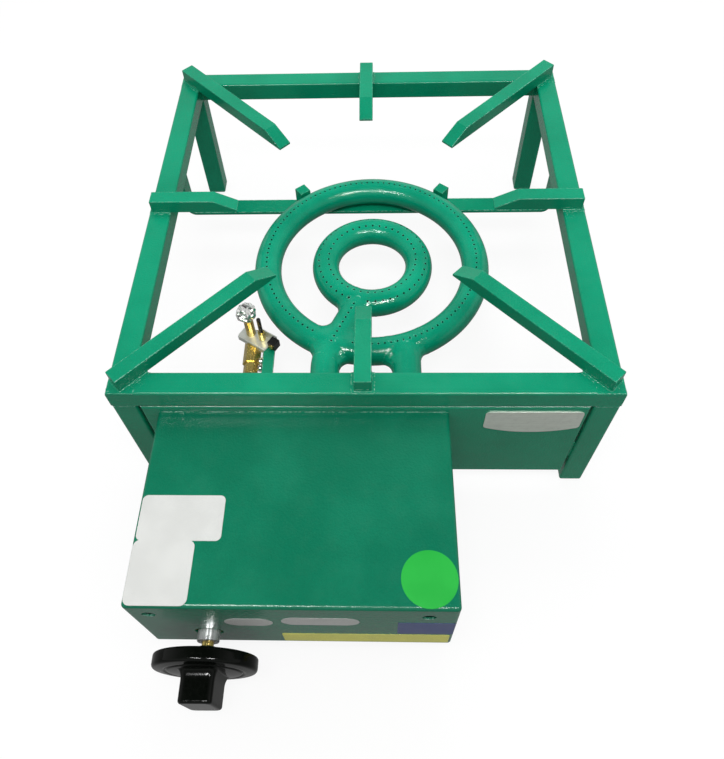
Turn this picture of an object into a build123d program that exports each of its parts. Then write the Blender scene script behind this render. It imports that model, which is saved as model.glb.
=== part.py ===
from build123d import *
from math import atan2, cos, degrees, radians, sin, sqrt, tan
import os

# Gas wok burner: a square tube stand with pan bars, two ring burners on a strap,
# and a control box with the tap, the gas line and the pilot group in front.
# X runs to the right, Y to the rear and Z up. The origin is on the floor, below
# the middle of the whole object. All sizes are in millimetres.
os.makedirs("parts", exist_ok=True)

# Stand
frame_side = 400.0
rail_top = 160.0
tube_side = 20.0
tube_wall = 1.5
tube_corner = 2.0
foot_cap = 3.0
foot_rounding = 1.8

# Pan bars
bar_side = 13.6
bar_edge = 0.7
bar_tip = 2.3
corner_bar_inset = 9.8
corner_bar_tip = 113.0
corner_bar_slope = 134.0
side_bar_inset = 2.6
side_bar_tip = 118.0
side_bar_slope = 139.0
side_bar_shift = -1.2

# Ring burners, bent from one size of pipe
pipe_outside = 26.9
pipe_wall = 2.6
ring_height = 72.15
ring_x = 4.9
ring_y = 0.9
outer_ring_radius = 105.5
inner_ring_x = 5.8
inner_ring_y = -0.8
inner_ring_radius = 47.3
weld_room = 0.1
weld_lip = 1.0

# Gas ports; a lean is from upright, away from the ring's middle
port_bore = 2.0
outer_port_step = 3.25
outer_port_gap = 21.0
inner_row_ports = 39
inner_row_lean = -15.0
rim_row_ports = 44
rim_row_step = 7.9
rim_row_lean = 29.0
inner_joint_turn = 62.3
feed_row_ports = 9
feed_row_step = 5.9
feed_row_start = 13.0

# Feed pipes from the control box to the rings
inner_feed_x = -37.5
inner_feed_angle = 255.5
inner_feed_tilt = 25.3
feed_bend = 40.0
outer_feed_x = 38.0
feed_into_box = 45.0
feed_hole_room = 0.3
window_angle = 80.0
window_length = 12.0
window_from_end = 7.0

# Strap and pegs below the rings
strap_width = 19.0
strap_thickness = 3.5
strap_bend = 9.0
peg_side = 12.0
peg_height = 23.2
peg_angle = 52.8
peg_room = 0.1
peg_behind_strap = 2.0
peg_edge = 0.6

# Front panel
sheet = 1.5
panel_side_gap = 2.0
panel_top_gap = 1.4
panel_bottom = 21.25
panel_flange = 12.0
panel_bend = 2.0
panel_notch = 4.5
tack_length = 25.0
tack_height = 58.0
tack_setback = 0.5
tack_depth = 3.0

# Small plate on the front panel, left bare
plate_from_side = 3.4
plate_from_box = 29.2
plate_drop = 7.75
plate_side = 25.5
plate_belly = 8.0
plate_corner = 4.0
plate_thickness = 0.8

# Control box
box_width = 233.0
box_depth = 150.0
box_height = 98.0
box_bottom = 33.75
box_from_side = 35.0
box_bend = 3.0
box_flange = 12.0
front_hole = 10.0
front_hole_from_left = 15.2
front_hole_from_right = 21.0
front_hole_drop = 19.0
base_inset = 3.0
base_thickness = 1.5
vent_width = 4.0
vent_length = 40.0
vent_step = 10.0
vent_count = 6
screw_shank = 4.0
screw_room = 0.25
screw_head = 8.0
screw_head_height = 2.6
screw_end = 3.0
screw_socket = 2.5
screw_from_side = 7.0
screw_from_end = 20.0

# Tap; its depths are measured inwards from the front of the box
tap_from_side = 48.75
tap_z = 63.25
tap_hole = 21.7
sleeve_outside = 16.8
sleeve_out = 7.8
sleeve_depth = 10.0
sleeve_edge = 0.6
thread_room = 0.05
turn_room = 0.05
tap_body_outside = 34.0
tap_body_start = 2.0
tap_body_end = 70.0
chamber_bore = 14.0
chamber_end = 30.0
rod_guide_end = 40.0
rear_bore = 17.0
outlet_depth = 60.0
outlet_bore = 8.0
outlet_boss = 20.0
outlet_boss_length = 8.0
inlet_depth = 48.0
pipe_socket = 3.0
spindle_outside = 9.0
spindle_flat = 3.2
spindle_into_knob = 12.0
spindle_collar = 12.5
spindle_collar_length = 2.0
collar_room = 0.2
rod_outside = 5.0
rod_head = 11.0
rod_head_length = 2.0
spring_wire = 1.0
spring_outside = 11.0
spring_turns = 5
magnet_outside = 10.0
magnet_plug_length = 4.0
magnet_flats = 17.0
magnet_end = 78.0
push_travel = 3.0
push_room = 0.2

# Knob
knob_hub = 13.5
knob_hub_length = 5.0
knob_radius = 40.0
knob_disc = 10.0
knob_rounding = 2.5
knob_dome = 3.0
knob_groove_radius = 28.7
knob_groove = 0.8
grip_length = 25.0
grip_width = 20.0
grip_span = 58.0
grip_lean = 10.0
grip_corner = 6.0
grip_edge = 2.5
grip_draft = 1.5

# Gas line inside the control box
manifold_outside = 16.0
manifold_wall = 2.0
manifold_past_feed = 14.0
stub_outside = 14.0
stub_length = 12.0
stub_bore = 6.0
manifold_nut_flats = 24.0
manifold_nut_length = 10.0
injector_flats = 12.0
injector_hex = 8.0
injector_shank = 8.0
injector_tail = 6.0
injector_nose = 6.0
injector_tip = 4.0
injector_bore = 1.6
end_plug_length = 5.0
shutter_wall = 1.6
shutter_length = 22.0
shutter_from_end = 2.0
bracket_x = 0.0
bracket_width = 20.0
bracket_thickness = 3.0
bracket_upright = 26.0
bracket_past_manifold = 10.0
inlet_from_side = 16.5
inlet_above_tap = 30.0
inlet_thread = 20.96
inlet_out = 22.0
inlet_flats = 24.0
inlet_hex = 8.0
inlet_nut_flats = 27.0
inlet_nut_length = 6.0
inlet_relief_width = 1.0
inlet_relief_depth = 0.6
inlet_tail = 14.0
inlet_tail_length = 14.0
inlet_pipe_outside = 10.0
inlet_pipe_wall = 1.0
inlet_pipe_bend = 10.0
inlet_socket = 6.0

# Pilot group beside the outer ring; across is to the right of the pilot tube, ahead in front
pilot_angle = 210.4
pilot_from_ring = 19.6
pilot_tube = 9.4
pilot_tube_bore = 5.0
pilot_tube_length = 29.0
hood_radius = 9.35
hood_wall = 0.8
hood_neck = 4.0
hood_flare = 3.0
hood_band = 5.0
hood_dome = 4.0
hood_mouth = 4.2
hood_window = 4.4
hood_windows = 3
pilot_plate_across = 5.0
pilot_plate_ahead = 5.7
pilot_plate_top = 51.75
pilot_plate_length = 34.0
pilot_plate_width = 14.5
pilot_plate_thickness = 1.5
pilot_plate_turn = -32.0
pilot_plate_corner = 2.0
pilot_tab_start = 4.0
pilot_tab_length = 18.0
pilot_tab_height = 10.0
pilot_tab_thickness = 1.0
clip_side = 8.5
clip_height = 10.0
clip_edge = 0.6
clip_screw_shank = 3.0
clip_screw_length = 6.0
clip_screw_head = 5.0
clip_screw_head_height = 1.5
elbow_across = 1.6
elbow_z = 41.75
elbow_flats = 15.0
elbow_ahead = 30.9
elbow_behind = 5.2
elbow_neck = 10.0
pilot_nut_flats = 12.5
pilot_nut_length = 12.0
pilot_line = 4.0
pilot_line_bend = 5.0
pilot_line_sweep = 60.0
pilot_line_depth = 36.0
probe_across = 12.1
probe_ahead = 7.0
probe_base = 7.0
probe_base_height = 11.0
probe_tip = 4.0
probe_tip_rounding = 1.8
probe_shoulder = 1.0
probe_height = 34.0
lead_outside = 2.4
lead_bend = 7.0
lead_height = 36.0
lead_rise = 44.0
lead_level_end = 35.0
lead_rise_end = 12.0
lead_past_panel = 15.0
lead_straight = 22.0
hole_room = 0.3
arm_across = 19.6
arm_width = 11.0
arm_thickness = 2.0
arm_ahead = 14.8
arm_foot = 26.0
arm_leg = 14.0
arm_leg_length = 26.0
arm_screw_ahead = 28.3
arm_screw_step = 8.0
arm_screw_z = 44.0
arm_screw = 4.0
arm_screw_head = 7.0
arm_screw_head_height = 2.6
arm_screw_length = 9.0

# Places worked out from the sizes
front_reach = (
    box_depth + sleeve_out + push_travel + push_room
    + knob_hub_length + knob_disc + grip_length
)
mid_y = front_reach / 2
panel_y = mid_y - frame_side / 2
box_left = box_from_side - frame_side / 2
box_right = box_left + box_width
box_x = (box_left + box_right) / 2
box_front = panel_y - box_depth
box_mid_y = panel_y - box_depth / 2
box_top = box_bottom + box_height
base_bottom = box_bottom - base_thickness
rail_offset = (frame_side - tube_side) / 2
rail_middle = rail_top - tube_side / 2
rail_underside = rail_top - tube_side
panel_width = frame_side - 2 * tube_side - 2 * panel_side_gap
panel_top = rail_underside - panel_top_gap
plate_top = rail_underside - plate_drop
plate_right = panel_width / 2 - plate_from_side
plate_width = plate_right - box_right - plate_from_box
plate_x = plate_right - plate_width / 2
tap_x = box_left + tap_from_side
inlet_x = box_left + inlet_from_side
inlet_z = tap_z + inlet_above_tap
pipe_radius = pipe_outside / 2
pipe_inside = pipe_radius - pipe_wall
outer_centre = Vector(ring_x, mid_y + ring_y, ring_height)
inner_centre = Vector(inner_ring_x, mid_y + inner_ring_y, ring_height)
feed_end = panel_y - feed_into_box
strap_top = ring_height - pipe_radius
strap_bottom = strap_top - strap_thickness
peg_distance = outer_ring_radius + pipe_radius + peg_room + peg_side / 2
peg_x = peg_distance * cos(radians(peg_angle))
peg_y = outer_centre.Y + peg_distance * sin(radians(peg_angle))
strap_y = peg_y - peg_behind_strap
manifold_y = box_front + outlet_depth
manifold_z = ring_height
manifold_start = tap_x + tap_body_outside / 2 + outlet_boss_length
manifold_end = outer_feed_x + manifold_past_feed
stub_end = manifold_y + manifold_outside / 2 + stub_length
knob_back = box_front - sleeve_out - push_travel - push_room
disc_back = knob_back - knob_hub_length
disc_front = disc_back - knob_disc
collar_start = box_front + sleeve_depth + collar_room
rod_head_start = collar_start + spindle_collar_length
spring_start = rod_head_start + rod_head_length
magnet_start = box_front + rod_guide_end + push_travel + push_room
pilot_plate_bottom = pilot_plate_top - pilot_plate_thickness
pilot_tube_top = pilot_plate_top + pilot_tube_length
pilot_distance = outer_ring_radius + pipe_radius + pilot_from_ring
pilot_x = ring_x + pilot_distance * cos(radians(pilot_angle))
pilot_y = outer_centre.Y + pilot_distance * sin(radians(pilot_angle))
pilot_plate_x = pilot_x + pilot_plate_across
pilot_plate_y = pilot_y - pilot_plate_ahead
elbow_x = pilot_x + elbow_across
elbow_front_y = pilot_y - elbow_ahead
elbow_rear_y = pilot_y + elbow_behind
probe_x = pilot_x + probe_across
probe_y = pilot_y - probe_ahead
arm_x = pilot_x + arm_across
arm_left = arm_x - arm_width / 2
arm_end_y = pilot_y - arm_ahead

# The inner feed pipe starts on the inner ring's centre line and turns forwards
feed_start = inner_centre + Vector(
    inner_ring_radius * cos(radians(inner_feed_angle)),
    inner_ring_radius * sin(radians(inner_feed_angle)),
)
feed_way = Vector(-sin(radians(inner_feed_tilt)), -cos(radians(inner_feed_tilt)))
feed_corner = Vector(
    inner_feed_x,
    feed_start.Y - (feed_start.X - inner_feed_x) / tan(radians(inner_feed_tilt)),
    ring_height,
)
feed_stop = Vector(inner_feed_x, feed_end, ring_height)

# Where that pipe passes through the outer ring's centre line
across = outer_centre - feed_start
along = across.dot(feed_way)
beside = across.dot(across) - along**2
crossing = feed_start + feed_way * (along + sqrt(outer_ring_radius**2 - beside))
crossing_way = crossing - outer_centre
crossing_angle = degrees(atan2(crossing_way.Y, crossing_way.X))

# Where the outer feed pipe meets the outer ring's centre line
outer_feed_y = outer_centre.Y - sqrt(outer_ring_radius**2 - (outer_feed_x - ring_x) ** 2)


def save(piece, name):
    piece.part.label = name
    export_step(piece.part, f"parts/{name}.step")


def level(x, y, z):
    return Plane(origin=(x, y, z), x_dir=(1, 0, 0), z_dir=(0, 0, 1))


def facing_down(x, y, z):
    return Plane(origin=(x, y, z), x_dir=(1, 0, 0), z_dir=(0, 0, -1))


def facing_rear(x, y, z):
    return Plane(origin=(x, y, z), x_dir=(1, 0, 0), z_dir=(0, 1, 0))


def facing_front(x, y, z):
    return Plane(origin=(x, y, z), x_dir=(1, 0, 0), z_dir=(0, -1, 0))


def facing_right(x, y, z):
    return Plane(origin=(x, y, z), x_dir=(0, 1, 0), z_dir=(1, 0, 0))


def facing_left(x, y, z):
    return Plane(origin=(x, y, z), x_dir=(0, 1, 0), z_dir=(-1, 0, 0))


def rod(plane, diameter, length, mode=Mode.ADD):
    # a round rod, or a drilled hole, that starts on the plane and runs along its normal
    with Locations(plane):
        Cylinder(diameter / 2, length, align=(Align.CENTER, Align.CENTER, Align.MIN), mode=mode)


def hexagon(plane, flats, length):
    with BuildSketch(plane) as outline:
        RegularPolygon(flats / 2, 6, major_radius=False)
    extrude(outline.sketch, amount=length)


# Stand
def frame_plane(turn):
    # the level plane through the middle of the stand, turned about the upright axis
    side_way = (cos(radians(turn)), sin(radians(turn)), 0)
    return Plane(origin=(0, mid_y, 0), x_dir=side_way, z_dir=(0, 0, 1))


def square_tube():
    hollow = tube_side - 2 * tube_wall
    RectangleRounded(tube_side, tube_side, tube_corner)
    RectangleRounded(hollow, hollow, tube_corner - tube_wall, mode=Mode.SUBTRACT)


def make_rail(name, turn):
    base = frame_plane(turn)
    start = base.from_local_coords(Vector(-frame_side / 2, -rail_offset, rail_middle))
    with BuildPart() as rail:
        with BuildSketch(Plane(origin=start, x_dir=base.y_dir, z_dir=base.x_dir)):
            square_tube()
        extrude(amount=frame_side)
        for end in (-1, 1):
            corner = base.from_local_coords(Vector(end * frame_side / 2, -frame_side / 2, 0))
            mitre = Plane(origin=corner, z_dir=base.x_dir * -end - base.y_dir)
            split(bisect_by=mitre, keep=Keep.TOP)
    save(rail, name)


def make_leg(name, side, depth):
    with BuildPart() as leg:
        with BuildSketch(level(side * rail_offset, mid_y + depth * rail_offset, foot_cap)):
            square_tube()
        extrude(amount=rail_underside - foot_cap)
    save(leg, name)


def make_foot_caps():
    with BuildPart() as foot_caps:
        with BuildSketch(level(0, mid_y, 0)):
            with GridLocations(2 * rail_offset, 2 * rail_offset, 2, 2):
                RectangleRounded(tube_side, tube_side, tube_corner)
        extrude(amount=foot_cap)
        fillet(foot_caps.edges().group_by(Axis.Z)[0], radius=foot_rounding)
    save(foot_caps, "foot_caps")


def make_pan_bar(name, turn, tip, slope, reach, shift=0.0):
    base = frame_plane(turn)
    foot = Vector(0, mid_y + shift, rail_top)
    with BuildPart() as pan_bar:
        with BuildSketch(Plane(origin=foot, x_dir=base.x_dir, z_dir=base.y_dir * -1)):
            with BuildLine():
                Polyline(
                    (tip, 0), (reach, 0), (reach, bar_side), (slope, bar_side), (tip, bar_tip),
                    close=True,
                )
            make_face()
        extrude(amount=bar_side / 2, both=True)
        fillet(pan_bar.edges(), radius=bar_edge)
    save(pan_bar, name)


for rail_name, rail_turn in (("front", 0), ("right", 90), ("rear", 180), ("left", 270)):
    make_rail(f"rail_{rail_name}", rail_turn)
for depth_name, depth_sign in (("front", -1), ("rear", 1)):
    for side_name, side_sign in (("left", -1), ("right", 1)):
        make_leg(f"leg_{depth_name}_{side_name}", side_sign, depth_sign)
make_foot_caps()

corner_reach = frame_side / sqrt(2) - corner_bar_inset
corner_bar = (corner_bar_tip, corner_bar_slope, corner_reach)
side_bar = (side_bar_tip, side_bar_slope, frame_side / 2 - side_bar_inset)
corner_turns = (("rear_right", 45), ("rear_left", 135), ("front_left", 225), ("front_right", 315))
for bar_name, bar_turn in corner_turns:
    make_pan_bar(f"pan_bar_{bar_name}", bar_turn, *corner_bar)
make_pan_bar("pan_bar_right", 0, *side_bar, side_bar_shift)
make_pan_bar("pan_bar_rear", 90, *side_bar)
make_pan_bar("pan_bar_left", 180, *side_bar, side_bar_shift)
make_pan_bar("pan_bar_front", 270, *side_bar)


# Strap and pegs that carry the rings
def make_burner_strap():
    height = rail_underside - strap_bottom
    with BuildPart() as burner_strap:
        with BuildSketch(facing_front(0, strap_y, strap_bottom)):
            Rectangle(frame_side, height, align=(Align.CENTER, Align.MIN))
            with Locations((0, strap_thickness)):
                Rectangle(
                    frame_side - 2 * strap_thickness, height,
                    align=(Align.CENTER, Align.MIN), mode=Mode.SUBTRACT,
                )
        extrude(amount=strap_width / 2, both=True)
        inner_bends = burner_strap.edges().filter_by(Axis.Y).group_by(Axis.Z)[1]
        fillet(inner_bends, radius=strap_bend - strap_thickness)
        outer_bends = burner_strap.edges().filter_by(Axis.Y).group_by(Axis.Z)[0]
        fillet(outer_bends, radius=strap_bend)
    save(burner_strap, "burner_strap")


def make_strap_pegs():
    with BuildPart() as strap_pegs:
        with BuildSketch(level(ring_x, peg_y, strap_top)):
            for side in (-1, 1):
                with Locations((side * peg_x, 0)):
                    Rectangle(peg_side, peg_side, rotation=side * peg_angle)
        extrude(amount=peg_height)
        fillet(strap_pegs.edges().group_by(Axis.Z)[-1], radius=peg_edge)
    save(strap_pegs, "strap_pegs")


make_burner_strap()
make_strap_pegs()


# Ring burners
def port_mouth(point, outwards, lean):
    # a port's plane just inside the pipe wall, leaning from upright to the given side
    way = outwards * sin(radians(lean)) + Vector(0, 0, 1) * cos(radians(lean))
    return Plane(origin=point + way * (pipe_inside - port_bore / 2), z_dir=way)


def ring_ports(centre, radius, lean, first, step, count):
    mouths = []
    for number in range(count):
        angle = radians(first + number * step)
        outwards = Vector(cos(angle), sin(angle))
        mouths.append(port_mouth(centre + outwards * radius, outwards, lean))
    return mouths


def drill_ports(mouths):
    with Locations(*mouths):
        Cylinder(
            port_bore / 2, pipe_wall + port_bore,
            align=(Align.CENTER, Align.CENTER, Align.MIN), mode=Mode.SUBTRACT,
        )


def feed_core(radius):
    # the inner feed pipe's run as a solid core of the given radius
    with BuildPart() as core:
        with BuildLine() as run:
            FilletPolyline(feed_start, feed_corner, feed_stop, radius=feed_bend)
        with BuildSketch(Plane(origin=feed_start, z_dir=feed_way)):
            Circle(radius)
        sweep(path=run.line)
    return core.part


feed_outer_core = feed_core(pipe_radius + weld_room)
feed_inner_core = feed_core(pipe_inside)
feed_gas_core = feed_core(pipe_inside - weld_lip)


def make_outer_ring():
    first_port = crossing_angle + outer_port_gap / 2
    port_count = int((360 - outer_port_gap) / outer_port_step) + 1
    with BuildPart() as outer_ring:
        with Locations(outer_centre):
            Torus(outer_ring_radius, pipe_radius)
            Torus(outer_ring_radius, pipe_inside, mode=Mode.SUBTRACT)
        add(feed_outer_core, mode=Mode.SUBTRACT)
        rod(
            facing_front(outer_feed_x, outer_feed_y, ring_height),
            2 * (pipe_inside - weld_lip), 2 * pipe_outside, mode=Mode.SUBTRACT,
        )
        drill_ports(ring_ports(
            outer_centre, outer_ring_radius, 0, first_port, outer_port_step, port_count,
        ))
    save(outer_ring, "outer_ring")


def row_angles(first, step, count):
    return [first + number * step for number in range(count)]


def inner_ring_half(start_angle):
    # half of the ring with its ports, as its skin without the two flat ends
    start_way = Vector(cos(radians(start_angle)), sin(radians(start_angle)))
    across_way = Vector(start_way.Y, -start_way.X)
    rim_span = (rim_row_ports - 1) * rim_row_step
    first_rim_port = inner_feed_angle + (360 - rim_span) / 2
    inner_step = 360 / inner_row_ports
    rows = (
        (inner_row_lean, row_angles(inner_feed_angle, inner_step, inner_row_ports)),
        (rim_row_lean, row_angles(first_rim_port, rim_row_step, rim_row_ports)),
    )
    with BuildPart() as half:
        with BuildSketch(Plane(origin=inner_centre, x_dir=start_way, z_dir=across_way)):
            with Locations((inner_ring_radius, 0)):
                Circle(pipe_radius)
                Circle(pipe_inside, mode=Mode.SUBTRACT)
        revolve(axis=Axis(inner_centre, (0, 0, 1)), revolution_arc=180)
        add(feed_gas_core, mode=Mode.SUBTRACT)
        for lean, angles in rows:
            mouths = []
            for angle in angles:
                if (angle - start_angle) % 360 < 180:
                    mouths += ring_ports(inner_centre, inner_ring_radius, lean, angle, 0, 1)
            drill_ports(mouths)
    return half.faces().filter_by(GeomType.PLANE, reverse=True)


def make_inner_ring():
    joint_angle = inner_feed_angle + inner_joint_turn
    skin = inner_ring_half(joint_angle) + inner_ring_half(joint_angle + 180)
    with BuildPart() as inner_ring:
        add(Solid(Shell(skin)))
    save(inner_ring, "inner_ring")


def cut_air_windows(x, outside):
    # two air windows, one at each side of a pipe's end, that a shutter can close
    with Locations((x, feed_end + window_from_end + window_length / 2, ring_height)):
        Box(
            2 * outside, window_length, outside * sin(radians(window_angle / 2)),
            mode=Mode.SUBTRACT,
        )


def make_inner_feed_pipe():
    row = [
        port_mouth(feed_start + feed_way * (feed_row_start + number * feed_row_step), feed_way, 0)
        for number in range(feed_row_ports)
    ]
    with BuildPart() as inner_feed_pipe:
        with BuildLine() as run:
            FilletPolyline(feed_start, feed_corner, feed_stop, radius=feed_bend)
        with BuildSketch(Plane(origin=feed_start, z_dir=feed_way)):
            Circle(pipe_radius)
        sweep(path=run.line)
        add(feed_inner_core, mode=Mode.SUBTRACT)
        with Locations(inner_centre):
            Torus(inner_ring_radius, pipe_radius + weld_room, mode=Mode.SUBTRACT)
        drill_ports(row)
        cut_air_windows(inner_feed_x, pipe_outside)
    save(inner_feed_pipe, "inner_feed_pipe")


def make_outer_feed_pipe():
    run = outer_feed_y - feed_end
    start = facing_front(outer_feed_x, outer_feed_y, ring_height)
    with BuildPart() as outer_feed_pipe:
        rod(start, pipe_outside, run)
        rod(start, 2 * pipe_inside, run, mode=Mode.SUBTRACT)
        with Locations(outer_centre):
            Torus(outer_ring_radius, pipe_radius + weld_room, mode=Mode.SUBTRACT)
        cut_air_windows(outer_feed_x, pipe_outside)
    save(outer_feed_pipe, "outer_feed_pipe")


make_outer_ring()
make_inner_ring()
make_inner_feed_pipe()
make_outer_feed_pipe()


# Front panel between the front legs
def make_front_panel():
    height = panel_top - panel_bottom
    inside = panel_width - 2 * sheet
    feed_hole = pipe_outside + 2 * feed_hole_room
    with BuildPart() as front_panel:
        with BuildSketch(level(0, panel_y, panel_bottom)):
            Rectangle(panel_width, sheet + panel_flange, align=(Align.CENTER, Align.MIN))
        extrude(amount=height)
        front_edges = front_panel.edges().group_by(Axis.Y)[0]
        top_edge = front_edges.filter_by(Axis.X).sort_by(Axis.Z)[-1:]
        fillet(front_edges.filter_by(Axis.Z) + top_edge, radius=panel_bend)
        with BuildSketch(level(0, panel_y + sheet, panel_bottom)):
            Rectangle(inside, 2 * panel_flange, align=(Align.CENTER, Align.MIN))
        extrude(amount=height - sheet, mode=Mode.SUBTRACT)
        with BuildSketch(facing_rear(0, panel_y + panel_bend, panel_top)):
            for side in (-1, 1):
                with Locations((side * panel_width / 2, 0)):
                    Rectangle(2 * panel_notch, 2 * panel_notch)
        extrude(amount=2 * panel_flange, mode=Mode.SUBTRACT)
        for x in (inner_feed_x, outer_feed_x):
            rod(facing_rear(x, panel_y, ring_height), feed_hole, sheet, mode=Mode.SUBTRACT)
        rod(
            facing_rear(inlet_x, panel_y, inlet_z), inlet_thread + 2 * hole_room, sheet,
            mode=Mode.SUBTRACT,
        )
        rod(
            facing_rear(elbow_x, panel_y, elbow_z), pilot_line + 2 * hole_room, sheet,
            mode=Mode.SUBTRACT,
        )
        rod(
            facing_rear(probe_x, panel_y, lead_rise), lead_outside + 2 * hole_room, sheet,
            mode=Mode.SUBTRACT,
        )
    save(front_panel, "front_panel")


def make_panel_welds():
    with BuildPart() as panel_welds:
        with BuildSketch(facing_rear(0, panel_y + tack_setback + panel_bend, tack_height)):
            for side in (-1, 1):
                with Locations((side * (panel_width + panel_side_gap) / 2, 0)):
                    Rectangle(panel_side_gap, tack_length)
        extrude(amount=tack_depth)
    save(panel_welds, "panel_welds")


def make_bare_plate():
    half = plate_width / 2
    with BuildPart() as bare_plate:
        with BuildSketch(facing_front(plate_x, panel_y, plate_top)) as outline:
            with BuildLine():
                Polyline((-half, -plate_side), (-half, 0), (half, 0), (half, -plate_side))
                ThreePointArc(
                    (half, -plate_side), (0, -plate_side - plate_belly), (-half, -plate_side),
                )
            make_face()
            fillet(outline.vertices(), radius=plate_corner)
        extrude(amount=plate_thickness)
    save(bare_plate, "bare_plate")


make_front_panel()
make_panel_welds()
make_bare_plate()


# Control box: a folded cover closed by the front panel behind and a base below
def screw_places(height):
    reach_x = box_width / 2 - screw_from_side
    places = []
    for side in (-1, 1):
        for y in (panel_y - screw_from_end, box_front + screw_from_end):
            places.append(level(box_x + side * reach_x, y, height))
    return places


def make_box_cover():
    inside = box_width - 2 * sheet
    with BuildPart() as box_cover:
        with BuildSketch(level(box_x, box_mid_y, box_bottom)):
            Rectangle(box_width, box_depth)
        extrude(amount=box_height)
        upright = box_cover.edges().filter_by(Axis.Z).group_by(Axis.Y)[0]
        top = box_cover.edges().group_by(Axis.Z)[-1]
        fillet(upright + top.sort_by(Axis.Y)[:-1], radius=box_bend)
        openings = [
            box_cover.faces().sort_by(Axis.Y)[-1],
            box_cover.faces().sort_by(Axis.Z)[0],
        ]
        offset(amount=-sheet, openings=openings)
        with BuildSketch(level(box_x, panel_y, box_bottom)):
            Rectangle(
                box_width - sheet, box_depth - sheet / 2,
                align=(Align.CENTER, Align.MAX),
            )
            Rectangle(
                inside - 2 * box_flange, box_depth - sheet - box_flange,
                align=(Align.CENTER, Align.MAX), mode=Mode.SUBTRACT,
            )
        extrude(amount=sheet)
        for place in screw_places(box_bottom):
            rod(place, screw_shank + 2 * thread_room, sheet, mode=Mode.SUBTRACT)
        rod(facing_rear(tap_x, box_front, tap_z), tap_hole, sheet, mode=Mode.SUBTRACT)
        for x in (box_left + front_hole_from_left, box_right - front_hole_from_right):
            rod(
                facing_rear(x, box_front, box_top - front_hole_drop), front_hole, sheet,
                mode=Mode.SUBTRACT,
            )
    save(box_cover, "box_cover")


def make_box_base():
    with BuildPart() as box_base:
        with BuildSketch(level(box_x, box_mid_y, base_bottom)):
            Rectangle(box_width - 2 * base_inset, box_depth - 2 * base_inset)
            for x in (inner_feed_x, outer_feed_x):
                with Locations((x - box_x, 0)):
                    with GridLocations(vent_step, 0, vent_count, 1):
                        SlotOverall(vent_length, vent_width, rotation=90, mode=Mode.SUBTRACT)
        extrude(amount=base_thickness)
        for place in screw_places(base_bottom):
            rod(place, screw_shank + 2 * screw_room, base_thickness, mode=Mode.SUBTRACT)
    save(box_base, "box_base")


def make_box_screws():
    with BuildPart() as box_screws:
        for place in screw_places(base_bottom - screw_head_height):
            rod(place, screw_head, screw_head_height)
            rod(place, screw_shank, screw_head_height + base_thickness + sheet + screw_end)
        rims = box_screws.edges().group_by(Axis.Z)[0]
        fillet(rims, radius=screw_head_height / 3)
        with BuildSketch(*screw_places(base_bottom - screw_head_height)):
            RegularPolygon(screw_socket / 2, 6, major_radius=False)
        extrude(amount=screw_head_height / 2, mode=Mode.SUBTRACT)
    save(box_screws, "box_screws")


make_box_cover()
make_box_base()
make_box_screws()


# Tap: body, sleeve, spindle, push rod, return spring and safety magnet
def tap_plane(depth):
    return facing_rear(tap_x, box_front + depth, tap_z)


def make_tap_body():
    half = tap_body_outside / 2
    boss_start = facing_right(tap_x, manifold_y, manifold_z)
    with BuildPart() as tap_body:
        rod(tap_plane(tap_body_start), tap_body_outside, tap_body_end - tap_body_start)
        rod(boss_start, outlet_boss, half + outlet_boss_length)
        rod(
            tap_plane(tap_body_start), sleeve_outside + 2 * thread_room,
            sleeve_depth - tap_body_start, mode=Mode.SUBTRACT,
        )
        rod(
            tap_plane(sleeve_depth), chamber_bore, chamber_end - sleeve_depth,
            mode=Mode.SUBTRACT,
        )
        rod(
            tap_plane(chamber_end), rod_outside + 2 * turn_room, rod_guide_end - chamber_end,
            mode=Mode.SUBTRACT,
        )
        rod(tap_plane(rod_guide_end), rear_bore, tap_body_end - rod_guide_end, mode=Mode.SUBTRACT)
        rod(boss_start, outlet_bore, half + outlet_boss_length, mode=Mode.SUBTRACT)
        rod(
            facing_left(tap_x, box_front + inlet_depth, tap_z),
            inlet_pipe_outside + 2 * thread_room, half, mode=Mode.SUBTRACT,
        )
        rod(
            facing_down(tap_x, box_front + pilot_line_depth, tap_z - half + pipe_socket),
            pilot_line + 2 * thread_room, pipe_socket, mode=Mode.SUBTRACT,
        )
    save(tap_body, "tap_body")


def make_tap_sleeve():
    with BuildPart() as tap_sleeve:
        rod(tap_plane(-sleeve_out), sleeve_outside, sleeve_out + sleeve_depth)
        rod(
            tap_plane(-sleeve_out), spindle_outside + 2 * turn_room, sleeve_out + sleeve_depth,
            mode=Mode.SUBTRACT,
        )
        front_rim = tap_sleeve.edges().group_by(Axis.Y)[0].sort_by(SortBy.RADIUS)[-1]
        chamfer(front_rim, length=sleeve_edge)
    save(tap_sleeve, "tap_sleeve")


def flatted_round(room):
    # the spindle's round end with one flat, or the hole for it
    Circle(spindle_outside / 2 + room)
    with Locations((0, spindle_flat + room)):
        Rectangle(
            2 * spindle_outside, spindle_outside, align=(Align.CENTER, Align.MIN),
            mode=Mode.SUBTRACT,
        )


def make_tap_spindle():
    with BuildPart() as tap_spindle:
        with BuildSketch(facing_front(tap_x, knob_back, tap_z)):
            flatted_round(0)
        extrude(amount=spindle_into_knob)
        rod(facing_rear(tap_x, knob_back, tap_z), spindle_outside, rod_head_start - knob_back)
        rod(facing_rear(tap_x, collar_start, tap_z), spindle_collar, spindle_collar_length)
    save(tap_spindle, "tap_spindle")


def make_push_rod():
    end = box_front + rod_guide_end
    with BuildPart() as push_rod:
        rod(facing_rear(tap_x, rod_head_start, tap_z), rod_head, rod_head_length)
        rod(facing_rear(tap_x, rod_head_start, tap_z), rod_outside, end - rod_head_start)
    save(push_rod, "push_rod")


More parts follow.
